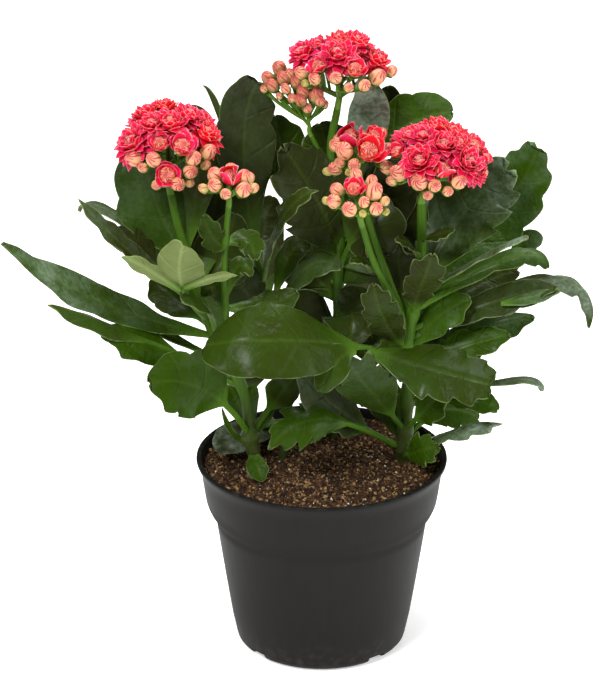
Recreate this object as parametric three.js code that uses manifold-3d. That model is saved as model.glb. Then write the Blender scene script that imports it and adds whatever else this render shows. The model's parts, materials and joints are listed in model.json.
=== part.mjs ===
// Potted kalanchoe: a bushy succulent with lobed leaves and heads of double flowers,
// in a thin plastic nursery pot filled with potting soil.
// Millimetres, +Z up. The origin is the centre of the flat underside of the pot.

import * as THREE from 'three';
import Module from 'manifold-3d';

const wasm = await Module();
wasm.setup();

// ---- pot and soil ----
const POT_SIDES = 24;
const POT_WALL = 1.5;
const POT_HEIGHT = 96;
const LIP_RADIUS = 60;
const LIP_HEIGHT = 4;
const COLLAR_TOP_RADIUS = 57.2;
const COLLAR_LOW_RADIUS = 55;
const COLLAR_LOW_Z = 74;
const KNEE_RADIUS = 53.6;     // half way up the curve from the wall to the collar
const KNEE_Z = 67;
const LEDGE_RADIUS = 50;
const LEDGE_Z = 61;
const WALL_LOW_RADIUS = 41.5;
const FOOT_Z = 3.5;
const FOOT_ROUND = 0.7;
const LIP_ROUND = 0.8;
const FLOOR_RADIUS = 38;
const NOTCH_COUNT = 4;
const NOTCH_WIDTH = 8;
const NOTCH_HEIGHT = 3.4;
const NOTCH_DEPTH = 12;
const NOTCH_TURN = 41;        // degrees from +X to the first notch
const SOIL_LEVEL = 91.5;
const SOIL_BUMP = 0.35;
const SOIL_DOME = 1.2;

// ---- plant ----
const FIT_GAP = 0.3;          // clearance between pieces that touch
const SMALLEST_DETAIL = 0.18;  // bends smaller than this are straightened
const STEM_FOOT = 66;         // depth in the soil that the stems reach down to
const STEM_SIDES = 6;
const TWIG_SIDES = 4;
const RIB_THICKNESS = 1.5;
const EDGE_THICKNESS = 0.9;
const LOBE_DEPTH = 0.2;       // share of the half width that a cleft cuts in
const LOBE_REACH = 0.13;      // share of the width that a lobe leans towards the tip
const LOBE_UNEVEN = 0.08;     // lobes differ in width by up to this share
const MARGIN_WAVE = 0.05;     // share of the width that the margins wave up and down
const STALK_HALF = 1.4;       // half width of a leaf's own stalk
const TIP_HALF = 1.6;
const PETALS = 5;
const CLEFT_SHARE = 0.72;     // how far out the clefts between petals reach, against the tips
const PETAL_UNEVEN = 0.06;
const TIP_LIFT = 0.08;        // petal tips curl up by this share of the flower's radius
const OPEN_SIZE = 14.5;       // a flower at least this wide has opened its third layer
const BUD_SIDES = 4;
const PEDICEL_RADIUS = 0.7;
const FORK_RADIUS = 1.0;

// ---- colours from the photograph ----
const POT_COLOUR = 0x3a3836;
const SOIL_COLOUR = 0x4a3020;
const LEAF_COLOUR = 0x4a6b26;
const CYME_COLOUR = 0xc98a5e;
const BLOOM_COLOUR = 0xee2f5f;

// ---- small helpers ----

const vec = (x, y, z) => new THREE.Vector3(x, y, z);
const UP = vec(0, 0, 1);
const LIGHT = vec(0, -0.35, 0.35);      // flowers and buds lean a little to this side

// A seeded draw between -1 and 1, the same each time the file runs.
function seededDraw(seed) {
  let state = seed * 7919 + 17;
  return () => {
    state = (state * 16807) % 2147483647;
    return (state / 2147483647) * 2 - 1;
  };
}

// The end of a loft is closed by a strip that zigzags between the two sides of its ring.
function capStrip(index, first, sides, facesForward) {
  let a = 0;
  let b = sides - 1;
  const push = (p, q, r) => {
    if (facesForward) index.push(first + p, first + q, first + r);
    else index.push(first + p, first + r, first + q);
  };
  while (b - a > 1) {
    push(a, a + 1, b);
    if (b - a > 2) push(a + 1, b - 1, b);
    a += 1;
    b -= 1;
  }
}

// A closed body through rings of equal count, each one counter-clockwise about the way
// the loft runs. The two halves of a ring are split into triangles as mirror images.
function loft(rings) {
  const sides = rings[0].length;
  const index = [];
  for (let r = 0; r + 1 < rings.length; r += 1) {
    for (let k = 0; k < sides; k += 1) {
      const a = r * sides + k;
      const b = r * sides + ((k + 1) % sides);
      const c = a + sides;
      const d = b + sides;
      if (k < sides / 2) index.push(a, b, d, a, d, c);
      else index.push(a, b, c, b, d, c);
    }
  }
  capStrip(index, 0, sides, false);
  capStrip(index, (rings.length - 1) * sides, sides, true);
  return toSolid(rings.flat(), index);
}

function toSolid(points, index) {
  const vertProperties = new Float32Array(points.flatMap((p) => [p.x, p.y, p.z]));
  const triVerts = new Uint32Array(index);
  return new wasm.Manifold(new wasm.Mesh({ numProp: 3, vertProperties, triVerts }));
}

function toGeometry(solid) {
  const mesh = solid.getMesh();
  const geometry = new THREE.BufferGeometry();
  geometry.setAttribute('position', new THREE.BufferAttribute(mesh.vertProperties, mesh.numProp));
  geometry.setIndex(new THREE.BufferAttribute(mesh.triVerts, 1));
  return geometry;
}

// Joins overlapping solids, and keeps the largest body where a scrap is left loose.
function fuse(solids) {
  const joined = wasm.Manifold.union(solids);
  const bodies = joined.asOriginal().simplify(SMALLEST_DETAIL).decompose();
  return bodies.reduce((best, body) => (body.volume() > best.volume() ? body : best));
}

// A ring of points round the Z axis.
function levelRing(radius, z, sides) {
  return Array.from({ length: sides }, (_, k) => {
    const angle = (k / sides) * Math.PI * 2;
    return vec(radius * Math.cos(angle), radius * Math.sin(angle), z);
  });
}

// A round rod with a ring at each point of a curve, its radius running evenly to the end.
function rod(curve, startRadius, endRadius, sides) {
  const last = (curve.points ?? [curve.v1, curve.v2]).length - 1;
  let normal = vec(1, 0.2, 0);
  const rings = Array.from({ length: last + 1 }, (_, i) => {
    const centre = curve.getPoint(i / last);
    const along = curve.getTangent(i / last);
    const radius = THREE.MathUtils.lerp(startRadius, endRadius, i / last);
    normal = normal.clone().addScaledVector(along, -normal.dot(along)).normalize();
    const across = along.clone().cross(normal);
    return Array.from({ length: sides }, (__, k) => {
      const angle = (k / sides) * Math.PI * 2;
      return centre.clone()
        .addScaledVector(normal, radius * Math.cos(angle))
        .addScaledVector(across, radius * Math.sin(angle));
    });
  });
  return loft(rings);
}

const through = (points) => new THREE.CatmullRomCurve3(points.map((p) => vec(...p)));

// The point of a rising stem at a given height.
function pointAtHeight(curve, height) {
  let low = 0;
  let high = 1;
  for (let step = 0; step < 24; step += 1) {
    const middle = (low + high) / 2;
    if (curve.getPointAt(middle).z < height) low = middle;
    else high = middle;
  }
  return curve.getPointAt(low);
}

// ---- pot ----

function potShell() {
  const ring = (radius, z) => levelRing(radius, z, POT_SIDES);
  const outside = [
    ring(FLOOR_RADIUS, 0),
    ring(WALL_LOW_RADIUS - FOOT_ROUND, FOOT_Z * 0.4),
    ring(WALL_LOW_RADIUS, FOOT_Z),
    ring(LEDGE_RADIUS, LEDGE_Z),
    ring(KNEE_RADIUS, KNEE_Z),
    ring(COLLAR_LOW_RADIUS, COLLAR_LOW_Z),
    ring(COLLAR_TOP_RADIUS, POT_HEIGHT - LIP_HEIGHT),
    ring(LIP_RADIUS, POT_HEIGHT - LIP_HEIGHT + LIP_ROUND),
    ring(LIP_RADIUS, POT_HEIGHT),
  ];
  const inside = [
    ring(LIP_RADIUS - LIP_HEIGHT, POT_HEIGHT),
    ring(COLLAR_LOW_RADIUS - POT_WALL, COLLAR_LOW_Z),
    ring(KNEE_RADIUS - POT_WALL, KNEE_Z),
    ring(LEDGE_RADIUS - POT_WALL, LEDGE_Z + LIP_ROUND),
    ring(WALL_LOW_RADIUS - POT_WALL, FOOT_Z),
    ring(FLOOR_RADIUS - 1, POT_WALL),
  ];
  return loft([...outside, ...inside]);
}

// A drain notch opens the corner between the floor and the wall.
function drainNotch(turn) {
  const block = new THREE.BoxGeometry(NOTCH_DEPTH, NOTCH_WIDTH, NOTCH_HEIGHT * 2);
  block.applyMatrix4(new THREE.Matrix4().makeTranslation(FLOOR_RADIUS + 2, 0, 0));
  block.applyMatrix4(new THREE.Matrix4().makeRotationZ(turn));
  return solidFromGeometry(block);
}

// A box has three vertices at each corner: they are merged to close it.
function solidFromGeometry(geometry) {
  const points = [];
  const indexOf = new Map();
  const position = geometry.attributes.position;
  const remap = [];
  for (let i = 0; i < position.count; i += 1) {
    const point = new THREE.Vector3().fromBufferAttribute(position, i);
    const key = point.toArray().map((v) => v.toFixed(4)).join(' ');
    if (!indexOf.has(key)) {
      indexOf.set(key, points.length);
      points.push(point);
    }
    remap.push(indexOf.get(key));
  }
  return toSolid(points, Array.from(geometry.index.array, (i) => remap[i]));
}

function pot() {
  let shell = potShell();
  for (let n = 0; n < NOTCH_COUNT; n += 1) {
    const turn = THREE.MathUtils.degToRad(NOTCH_TURN) + (n / NOTCH_COUNT) * Math.PI * 2;
    shell = shell.subtract(drainNotch(turn));
  }
  return shell;
}

// ---- soil ----

// The surface is domed a little and uneven, and it meets the wall under the lip.
function soilTop(radius, angle) {
  const dome = SOIL_DOME * (1 - (radius / COLLAR_TOP_RADIUS) ** 2);
  const bumps = Math.sin(radius * 0.31 + angle * 3) + Math.cos(angle * 5 - radius * 0.2);
  return SOIL_LEVEL + dome + SOIL_BUMP * bumps;
}

function soilRing(radius, sides) {
  return Array.from({ length: sides }, (_, k) => {
    const angle = (k / sides) * Math.PI * 2;
    return vec(radius * Math.cos(angle), radius * Math.sin(angle), soilTop(radius, angle));
  });
}

function soil(stemHoles) {
  const gap = POT_WALL + FIT_GAP;
  const ring = (radius, z) => levelRing(radius - gap, z, POT_SIDES);
  const edge = COLLAR_TOP_RADIUS - gap - 0.2;
  const rings = [
    ring(FLOOR_RADIUS - 1 + POT_WALL, POT_WALL + FIT_GAP),
    ring(WALL_LOW_RADIUS, FOOT_Z + FIT_GAP),
    ring(LEDGE_RADIUS, LEDGE_Z + LIP_ROUND),
    ring(KNEE_RADIUS, KNEE_Z + FIT_GAP),
    ring(COLLAR_LOW_RADIUS, COLLAR_LOW_Z + FIT_GAP),
    soilRing(edge, POT_SIDES),
    soilRing(edge * 0.7, POT_SIDES),
    soilRing(edge * 0.4, POT_SIDES),
    soilRing(edge * 0.1, POT_SIDES),
  ];
  let body = loft(rings);
  stemHoles.forEach((hole) => {
    body = body.subtract(hole);
  });
  return body;
}

// A plain round hole that a stem stands in.
function stemHole([x, y], radius) {
  const bottom = levelRing(radius + FIT_GAP, STEM_FOOT - FIT_GAP, 12);
  const top = levelRing(radius + FIT_GAP, POT_HEIGHT + 4, 12);
  const place = (point) => point.add(vec(x, y, 0));
  return loft([bottom.map(place), top.map(place)]);
}

// ---- leaves ----

// Half width along the blade, from 0 at its foot to 1 near the middle and 0 at its blunt tip.
function bladeOutline(s) {
  return Math.sin(Math.PI * s ** 0.92) ** 0.6;
}

// A lobed leaf. Its rib leaves the stem at the height from, or springs from another leaf's
// stalk at root, passes through mid and ends at tip. face is the way the upper side looks.
// cup lifts the margins, and a negative cup hangs them. stalk is the share of the rib below
// the blade.
function leaf(stemCurve, spec, seed) {
  const { mid, tip, face, width, lobes, cup = 0.1, stalk = 0.12 } = spec;
  const draw = seededDraw(seed);
  const start = spec.root ? vec(...spec.root) : pointAtHeight(stemCurve, spec.from);
  const end = vec(...tip);
  const control = vec(...mid).multiplyScalar(2)
    .addScaledVector(start, -0.5)
    .addScaledVector(end, -0.5);
  const rib = new THREE.QuadraticBezierCurve3(start, control, end);
  const facing = vec(...face).normalize();
  const steps = lobes * 2;
  const stations = [{ t: 0, left: STALK_HALF, right: STALK_HALF }];
  if (spec.stalk) stations.push({ t: stalk, left: STALK_HALF, right: STALK_HALF });
  for (let i = 1; i <= steps; i += 1) {
    const s = (i + 0.15) / (steps + 0.8);
    const cleft = i % 2 === 0 ? 1 - LOBE_DEPTH : 1;
    const half = 0.5 * width * bladeOutline(s) * cleft;
    stations.push({
      t: stalk + (1 - stalk) * s,
      left: half * (1 + LOBE_UNEVEN * draw()),
      right: half * (1 + LOBE_UNEVEN * draw()),
      lean: i % 2 === 0 ? 0 : LOBE_REACH * width,
      wave: MARGIN_WAVE * width * draw(),
    });
  }
  stations.push({ t: 1, left: TIP_HALF, right: TIP_HALF });
  return loft(stations.map((station) => leafRing(rib, facing, station, cup)));
}

function leafRing(rib, facing, { t, left, right, lean = 0, wave = 0 }, cup) {
  const centre = rib.getPoint(t);
  const along = rib.getTangent(t);
  const normal = facing.clone().addScaledVector(along, -facing.dot(along)).normalize();
  const side = along.clone().cross(normal);
  const edge = (reach, lift) => centre.clone()
    .addScaledVector(side, reach)
    .addScaledVector(normal, lift)
    .addScaledVector(along, lean);
  const leftEdge = edge(-left, cup * left + wave);
  const rightEdge = edge(right, cup * right - wave);
  const raise = (point, height) => point.clone().addScaledVector(normal, height);
  const rim = EDGE_THICKNESS / 2;
  const rise = RIB_THICKNESS / 2;
  return [
    raise(leftEdge, rim),
    raise(centre, rise),
    raise(rightEdge, rim),
    raise(rightEdge, -rim),
    raise(centre, -rise),
    raise(leftEdge, -rim),
  ];
}

// ---- leafy stems ----

const LEFT_FOOT = [-31, -12];
const RIGHT_FOOT = [39.5, 2];
const BACK_FOOT = [5, 29];
const CENTRE_FOOT = [-19, 2];

const leftStem = {
  foot: LEFT_FOOT,
  radius: 3.3,
  tipRadius: 1.9,
  curve: through([
    [...LEFT_FOOT, STEM_FOOT], [...LEFT_FOOT, 94], [-34, -13, 111], [-36, -14, 131],
    [-45, -16, 155], [-56, -14, 179], [-62, -10, 199], [-67, -8, 217], [-70, -6, 231],
  ]),
};

const smallLeftStalk = {
  radius: 1.8,
  tipRadius: 1.4,
  curve: through([[-42, -15, 150], [-45, -19, 177], [-45, -22, 207], [-43, -22, 231]]),
};

const rightStem = {
  foot: RIGHT_FOOT,
  radius: 3.3,
  tipRadius: 2.2,
  curve: through([
    [...RIGHT_FOOT, STEM_FOOT], [...RIGHT_FOOT, 94], [41, 0, 125], [41, -2, 141], [40, -4, 160],
    [44, -4, 178], [46, -4, 197], [46, -4, 226],
  ]),
};

const frontStalk = {
  radius: 2,
  tipRadius: 1.5,
  curve: through([[40, -4, 156], [36, -8, 174], [28, -14, 192], [23, -18, 204], [18, -23, 222]]),
};

const middleStalk = {
  radius: 1.9,
  tipRadius: 1.4,
  curve: through([[41, -4, 162], [30, -6, 192], [22, -2, 215], [17, 1, 238]]),
};

const backStem = {
  foot: BACK_FOOT,
  radius: 3,
  tipRadius: 1.8,
  curve: through([
    [...BACK_FOOT, STEM_FOOT], [...BACK_FOOT, 95], [8, 26, 166], [7, 22, 218], [4, 20, 245],
    [7, 20, 264],
  ]),
};

const upperLeftStalk = {
  radius: 1.5,
  tipRadius: 1.2,
  curve: through([[5, 21, 228], [0, 21, 240], [-5, 22, 250]]),
};

const centreStem = {
  foot: CENTRE_FOOT,
  radius: 2.2,
  tipRadius: 1.6,
  curve: through([
    [...CENTRE_FOOT, STEM_FOOT], [...CENTRE_FOOT, 94], [-15, 6, 106], [-18, 10, 131], [-25, 14, 160],
    [-30, 17, 185], [-34, 19, 202],
  ]),
};

const leftLeaves = [
  {
    from: 163, mid: [-103, -26, 185], tip: [-146, -32, 217], face: [0.3, -0.1, 0.95],
    width: 27, lobes: 4, cup: -0.15,
  },
  {
    from: 143, mid: [-91, -38, 175], tip: [-124, -46, 191], face: [0.35, -0.05, 0.95],
    width: 21, lobes: 4, cup: -0.6, stalk: 0.15,
  },
  {
    from: 112, mid: [-55, -40, 147], tip: [-79, -50, 154], face: [-0.12, -0.9, 0.42],
    width: 33, lobes: 3, cup: 0.12, stalk: 0.3,
  },
  { from: 104, mid: [-31, -20, 99], tip: [-28, -25, 94], face: [0, -0.6, 0.8], width: 11, lobes: 2 },
  {
    from: 112, mid: [-22, -4, 127], tip: [-12, 10, 134], face: [0.3, -0.8, 0.45],
    width: 17, lobes: 2, stalk: 0.35,
  },
  {
    from: 178, mid: [-84, -28, 214], tip: [-111, -24, 235], face: [0.8, 0.05, 0.62],
    width: 22, lobes: 3, cup: 0.3,
  },
  {
    from: 172, mid: [-61, -34, 198], tip: [-69, -46, 218], face: [0.1, 0.9, -0.4],
    width: 28, lobes: 3, cup: 0.2, stalk: 0.2,
  },
  {
    from: 198, mid: [-76, 10, 217], tip: [-86, 16, 240], face: [0.3, -0.88, 0.35],
    width: 42, lobes: 3, cup: 0.12,
  },
  {
    from: 204, mid: [-58, 22, 234], tip: [-62, 32, 262], face: [0.3, -0.9, 0.2],
    width: 13, lobes: 2, cup: 0.2,
  },
  { from: 190, mid: [-91, 18, 210], tip: [-115, 26, 210], face: [0.1, 0, 1], width: 16, lobes: 3 },
  {
    from: 165, mid: [-54, -30, 185], tip: [-64, -42, 193], face: [0.2, -0.3, 0.9],
    width: 14, lobes: 2, cup: -0.2, stalk: 0.2,
  },
  {
    from: 168, mid: [-69, 2, 172], tip: [-81, 12, 181], face: [0.4, -0.8, 0.5],
    width: 26, lobes: 3, stalk: 0.2,
  },
  {
    from: 150, mid: [-65, -2, 154], tip: [-80, 6, 158], face: [0.3, -0.6, 0.7],
    width: 16, lobes: 2, stalk: 0.2,
  },
  {
    from: 160, mid: [-64, 60, 167], tip: [-76, 90, 175], face: [0.3, -0.3, 0.9],
    width: 34, lobes: 2, cup: 0.12,
  },
  {
    from: 120, mid: [-40, 45, 120], tip: [-52, 80, 116], face: [0.1, -0.3, 0.95],
    width: 30, lobes: 2, cup: 0.12, stalk: 0.2,
  },
  { from: 183, mid: [-48, 3, 194], tip: [-42, 5, 213], face: [0, -0.92, 0.35], width: 30, lobes: 2 },
];

const smallLeftLeaves = [
  { from: 213, mid: [-49, -24, 215], tip: [-54, -25, 227], face: [-0.2, -0.8, 0.5], width: 12, lobes: 2 },
  { from: 213, mid: [-35, -24, 215], tip: [-31, -28, 208], face: [0.2, -0.7, 0.6], width: 15, lobes: 2 },
  { from: 180, mid: [-28, -18, 183], tip: [-13, -15, 189], face: [0.1, -0.55, 0.8], width: 20, lobes: 3 },
];

const centreLeaves = [
  {
    from: 190, mid: [-38, 26, 244], tip: [-33, 30, 275], face: [0.15, -0.95, 0.2],
    width: 31, lobes: 3, cup: 0.12,
  },
  { from: 185, mid: [-48, 46, 235], tip: [-57, 54, 264], face: [-0.9, -0.3, 0.3], width: 9, lobes: 2 },
  {
    from: 178, mid: [-21, -12, 215], tip: [-3, -18, 237], face: [-0.6, -0.5, 0.55],
    width: 24, lobes: 3, cup: 0.15,
  },
  {
    from: 160, mid: [-18, 18, 191], tip: [-6, 22, 193], face: [-0.1, -0.5, 0.85],
    width: 22, lobes: 2, stalk: 0.2,
  },
  {
    from: 155, mid: [-13, 0, 190], tip: [9, -8, 197], face: [-0.1, -0.45, 0.9],
    width: 26, lobes: 3, cup: -0.2, stalk: 0.2,
  },
  {
    from: 107, mid: [-29, 22, 102], tip: [-41, 27, 95], face: [0, -0.2, 1],
    width: 16, lobes: 2, cup: 0.05, stalk: 0.25,
  },
  {
    from: 165, mid: [-29, 62, 183], tip: [-40, 82, 202], face: [0.2, -0.4, 0.9],
    width: 34, lobes: 2, cup: 0.12,
  },
];

const rightLeaves = [
  {
    from: 150, mid: [-14, -50, 176], tip: [-54, -44, 171], face: [0.02, -0.72, 0.7],
    width: 38, lobes: 3, cup: -0.1, stalk: 0.2,
  },
  {
    root: [25, -20, 159.5], mid: [50, -34, 156], tip: [76, -42, 151], face: [0.05, -0.6, 0.8],
    width: 28, lobes: 3, cup: -0.08,
  },
  { from: 149, mid: [32, -20, 155], tip: [24, -26, 160], face: [0.05, -0.7, 0.7], width: 17, lobes: 2 },
  { from: 140, mid: [49, 14, 145], tip: [63, 20, 150], face: [-0.1, -0.6, 0.8], width: 24, lobes: 2 },
  {
    from: 152, mid: [29, -16, 173], tip: [24, -18, 190], face: [-0.15, -0.95, 0.2],
    width: 24, lobes: 3, stalk: 0.1,
  },
  {
    from: 108, mid: [23, -22, 146], tip: [9, -32, 148], face: [-0.6, -0.75, 0.3],
    width: 30, lobes: 3, cup: -0.15, stalk: 0.2,
  },
  {
    from: 97, mid: [4, -26, 124], tip: [-23, -32, 115], face: [0, -0.75, 0.65],
    width: 27, lobes: 3, cup: 0.05, stalk: 0.35,
  },
  {
    from: 99, mid: [11, -12, 122], tip: [-10, -18, 147], face: [0.5, -0.7, 0.5],
    width: 28, lobes: 3, cup: 0.05, stalk: 0.3,
  },
  {
    from: 98, mid: [58, -24, 116], tip: [83, -26, 125], face: [0.1, -0.35, 0.92],
    width: 22, lobes: 3, cup: -0.2, stalk: 0.15,
  },
  {
    from: 94, mid: [45, -20, 107], tip: [54, -28, 113], face: [-0.2, -0.85, 0.4],
    width: 15, lobes: 2, cup: 0.05, stalk: 0.2,
  },
  {
    from: 108, mid: [49, -14, 126], tip: [57, -18, 134], face: [-0.2, -0.7, 0.6],
    width: 20, lobes: 2, stalk: 0.25,
  },
  {
    from: 104, mid: [57, 10, 113], tip: [76, 20, 110], face: [0.1, -0.75, 0.65],
    width: 20, lobes: 3, stalk: 0.25,
  },
  {
    from: 122, mid: [85, 6, 128], tip: [103, 6, 130], face: [0.1, -0.1, 1],
    width: 16, lobes: 2, cup: -0.3, stalk: 0.25,
  },
  {
    from: 125, mid: [63, -10, 128], tip: [84, -12, 125], face: [0.1, -0.6, 0.75],
    width: 19, lobes: 2, stalk: 0.25,
  },
  {
    from: 140, mid: [64, -2, 150], tip: [86, -2, 157], face: [0.1, -0.7, 0.7],
    width: 24, lobes: 3, stalk: 0.2,
  },
  { from: 152, mid: [55, -4, 169], tip: [69, -4, 178], face: [-0.2, -0.8, 0.5], width: 18, lobes: 2 },
  {
    from: 146, mid: [71, 14, 153], tip: [101, 18, 160], face: [0.1, -0.5, 0.85],
    width: 28, lobes: 3, cup: -0.2, stalk: 0.2,
  },
  {
    from: 158, mid: [67, 0, 173], tip: [102, -6, 186], face: [0.15, -0.6, 0.8],
    width: 31, lobes: 3, cup: 0.05,
  },
  {
    from: 162, mid: [96, 12, 180], tip: [126, 8, 160], face: [0.25, -0.4, 0.9],
    width: 26, lobes: 4, cup: -0.25,
  },
  {
    from: 183, mid: [67, 12, 215], tip: [89, 16, 239], face: [-0.35, -0.8, 0.5],
    width: 42, lobes: 4, cup: 0.12,
  },
  {
    from: 176, mid: [85, 30, 205], tip: [102, 34, 243], face: [-0.25, -0.85, 0.45],
    width: 40, lobes: 4, cup: 0.15,
  },
  { from: 172, mid: [79, 0, 195], tip: [105, -4, 197], face: [0.1, -0.6, 0.8], width: 29, lobes: 3 },
  {
    from: 180, mid: [70, -16, 206], tip: [94, -22, 216], face: [0.1, -0.35, 0.95],
    width: 22, lobes: 3, cup: -0.2,
  },
  { from: 160, mid: [71, 26, 171], tip: [94, 34, 178], face: [0, -0.7, 0.7], width: 30, lobes: 3 },
  {
    from: 170, mid: [46, -20, 192], tip: [50, -26, 208], face: [0.1, -0.95, 0.25],
    width: 16, lobes: 2, stalk: 0.1,
  },
  {
    from: 165, mid: [63, 60, 163], tip: [79, 88, 173], face: [-0.3, -0.4, 0.9],
    width: 36, lobes: 2, cup: 0.12,
  },
  {
    from: 130, mid: [59, 50, 124], tip: [75, 82, 116], face: [-0.1, -0.3, 0.95],
    width: 32, lobes: 2, cup: 0.12, stalk: 0.2,
  },
  {
    from: 195, mid: [57, 44, 203], tip: [65, 60, 220], face: [-0.2, -0.5, 0.8],
    width: 32, lobes: 3, cup: 0.12,
  },
];

const backLeaves = [
  { from: 165, mid: [-8, 34, 179], tip: [-27, 30, 194], face: [0.2, -0.85, 0.5], width: 34, lobes: 2 },
  {
    from: 150, mid: [14, 14, 164], tip: [13, 4, 152], face: [0, -0.9, 0.4],
    width: 30, lobes: 2, stalk: 0.2,
  },
  { from: 140, mid: [-6, 20, 158], tip: [-17, 14, 155], face: [0.2, -0.8, 0.6], width: 30, lobes: 2 },
  { from: 175, mid: [23, 24, 190], tip: [37, 22, 206], face: [-0.2, -0.85, 0.5], width: 34, lobes: 2 },
  {
    from: 215, mid: [25, 24, 248], tip: [18, 13, 278], face: [0.1, -0.95, 0.25],
    width: 24, lobes: 2, cup: 0.15,
  },
  { from: 222, mid: [27, 36, 248], tip: [31, 42, 268], face: [-0.3, -0.9, 0.3], width: 20, lobes: 2 },
  {
    from: 232, mid: [37, 30, 256], tip: [60, 34, 263], face: [-0.15, -0.85, 0.5],
    width: 28, lobes: 4, cup: 0.12, stalk: 0.15,
  },
  { from: 190, mid: [-3, 14, 217], tip: [-25, 15, 244], face: [0.3, -0.85, 0.4], width: 46, lobes: 4 },
  { from: 195, mid: [-14, 36, 228], tip: [-24, 40, 258], face: [0.3, -0.85, 0.4], width: 32, lobes: 3 },
  { from: 205, mid: [4, 34, 232], tip: [-1, 40, 250], face: [0, -0.9, 0.4], width: 28, lobes: 3 },
  {
    from: 180, mid: [20, 8, 211], tip: [29, 2, 198], face: [-0.2, -0.8, 0.5],
    width: 34, lobes: 3, stalk: 0.2,
  },
  {
    from: 170, mid: [4, 70, 191], tip: [2, 94, 208], face: [0, -0.4, 0.9],
    width: 38, lobes: 2, cup: 0.12,
  },
  {
    from: 150, mid: [24, 66, 150], tip: [35, 94, 155], face: [-0.2, -0.3, 0.95],
    width: 34, lobes: 2, cup: 0.12,
  },
  {
    from: 130, mid: [-5, 66, 128], tip: [-15, 94, 128], face: [0.2, -0.3, 0.95],
    width: 32, lobes: 2, cup: 0.12,
  },
];

// The axes of a plant and the leaves of each axis, joined as they grew.
function leafyStem(branches) {
  const solids = [];
  branches.forEach(({ axis, leaves }) => {
    solids.push(rod(axis.curve, axis.radius, axis.tipRadius, STEM_SIDES));
    leaves.forEach((spec, n) => {
      solids.push(leaf(axis.curve, spec, n + leaves.length));
    });
  });
  return fuse(solids);
}

// ---- flower heads ----

// Each layer of petals, as shares of the radius: where it is rooted and where its tips are.
const OPEN_LAYERS = [
  { root: 0.24, foot: -0.62, tip: 1, height: 0 },
  { root: 0.5, foot: 0.02, tip: 0.78, height: 0.24 },
  { root: 0.34, foot: 0.22, tip: 0.52, height: 0.42 },
];
const HALF_OPEN_LAYERS = [
  { root: 0.26, foot: -0.62, tip: 1, height: 0.2 },
  { root: 0.5, foot: 0.22, tip: 0.68, height: 0.5 },
];

// A double flower: a short cup, then stars of petals that open one above the other.
// grow widens it all round, to cut the room that it needs out of its neighbours.
function doubleFlower([x, y, z], direction, size, grow = 0) {
  const radius = size / 2 + grow;
  const draw = seededDraw(Math.round(x * 31 + y * 17 + z));
  const layers = size >= OPEN_SIZE ? OPEN_LAYERS : HALF_OPEN_LAYERS;
  const toWorld = new THREE.Quaternion().setFromUnitVectors(UP, direction);
  const place = (share, angle, height) => vec(
    radius * share * Math.cos(angle),
    radius * share * Math.sin(angle),
    radius * height - (height < 0 ? grow : -grow),
  ).applyQuaternion(toWorld).add(vec(x, y, z));
  const points = [];
  const index = [];
  const step = Math.PI / PETALS;
  layers.forEach((layer, n) => {
    const turn = n * step + 0.2 * draw();
    for (let k = 0; k < PETALS; k += 1) {
      points.push(place(layer.root, turn + 2 * k * step, layer.foot));
    }
    for (let k = 0; k < PETALS; k += 1) {
      const tip = layer.tip * (1 + PETAL_UNEVEN * draw());
      points.push(place(layer.tip * CLEFT_SHARE, turn + 2 * k * step, layer.height));
      points.push(place(tip, turn + (2 * k + 1) * step, layer.height + TIP_LIFT));
    }
  });
  const inmost = layers[layers.length - 1].height - TIP_LIFT;
  for (let k = 0; k < PETALS; k += 1) points.push(place(0.2, 2 * k * step, inmost));
  joinStars(index, layers.length);
  return toSolid(points, index);
}

// Triangles between each ring of petal roots and the star of petal tips next to it.
function joinStars(index, layerCount) {
  const block = PETALS * 3;
  for (let n = 0; n < layerCount; n += 1) {
    const root = n * block;
    const star = root + PETALS;
    const next = (n + 1) * block;
    for (let k = 0; k < PETALS; k += 1) {
      const k1 = (k + 1) % PETALS;
      const cleft = star + 2 * k;
      const tip = cleft + 1;
      const cleft1 = star + 2 * k1;
      index.push(root + k, tip, cleft, root + k, root + k1, tip, root + k1, cleft1, tip);
      index.push(next + k, cleft, tip, next + k, tip, next + k1, next + k1, tip, cleft1);
    }
  }
  capStrip(index, 0, PETALS, false);
  capStrip(index, layerCount * block, PETALS, true);
}

// A bud on its pedicel, one body from the fork: a thin stalk, a round belly, a blunt point.
function budOnPedicel(fork, [x, y, z], direction, size) {
  const place = vec(x, y, z);
  const foot = place.clone().addScaledVector(direction, -0.55 * size);
  const ringAt = (centre, axis, radius) => {
    const turned = new THREE.Quaternion().setFromUnitVectors(UP, axis);
    return Array.from({ length: BUD_SIDES }, (_, k) => {
      const angle = (k / BUD_SIDES) * Math.PI * 2;
      const onRing = vec(radius * Math.cos(angle), radius * Math.sin(angle), 0);
      return onRing.applyQuaternion(turned).add(centre);
    });
  };
  const rising = foot.clone().sub(fork).normalize();
  return loft([
    ringAt(fork, rising, PEDICEL_RADIUS),
    ringAt(foot, rising.add(direction).normalize(), PEDICEL_RADIUS * 1.2),
    ringAt(place, direction, size / 2),
    ringAt(place.clone().addScaledVector(direction, 0.55 * size), direction, size * 0.14),
  ]);
}

// The way a flower or bud looks: away from the fork of its head, and to the light.
function outward([x, y, z], hub) {
  return vec(x, y, z).sub(vec(...hub)).normalize().add(LIGHT).normalize();
}

// Where a twig leaves the nearest fork: each next one a step further down.
function twigFoot(hub, forks, point) {
  const fork = forks.reduce((best, other) => (
    other.end.distanceTo(point) < best.end.distanceTo(point) ? other : best));
  const foot = fork.end.clone().lerp(hub, Math.min(0.16 * fork.twigs, 0.8));
  fork.twigs += 1;
  return foot;
}

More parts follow.
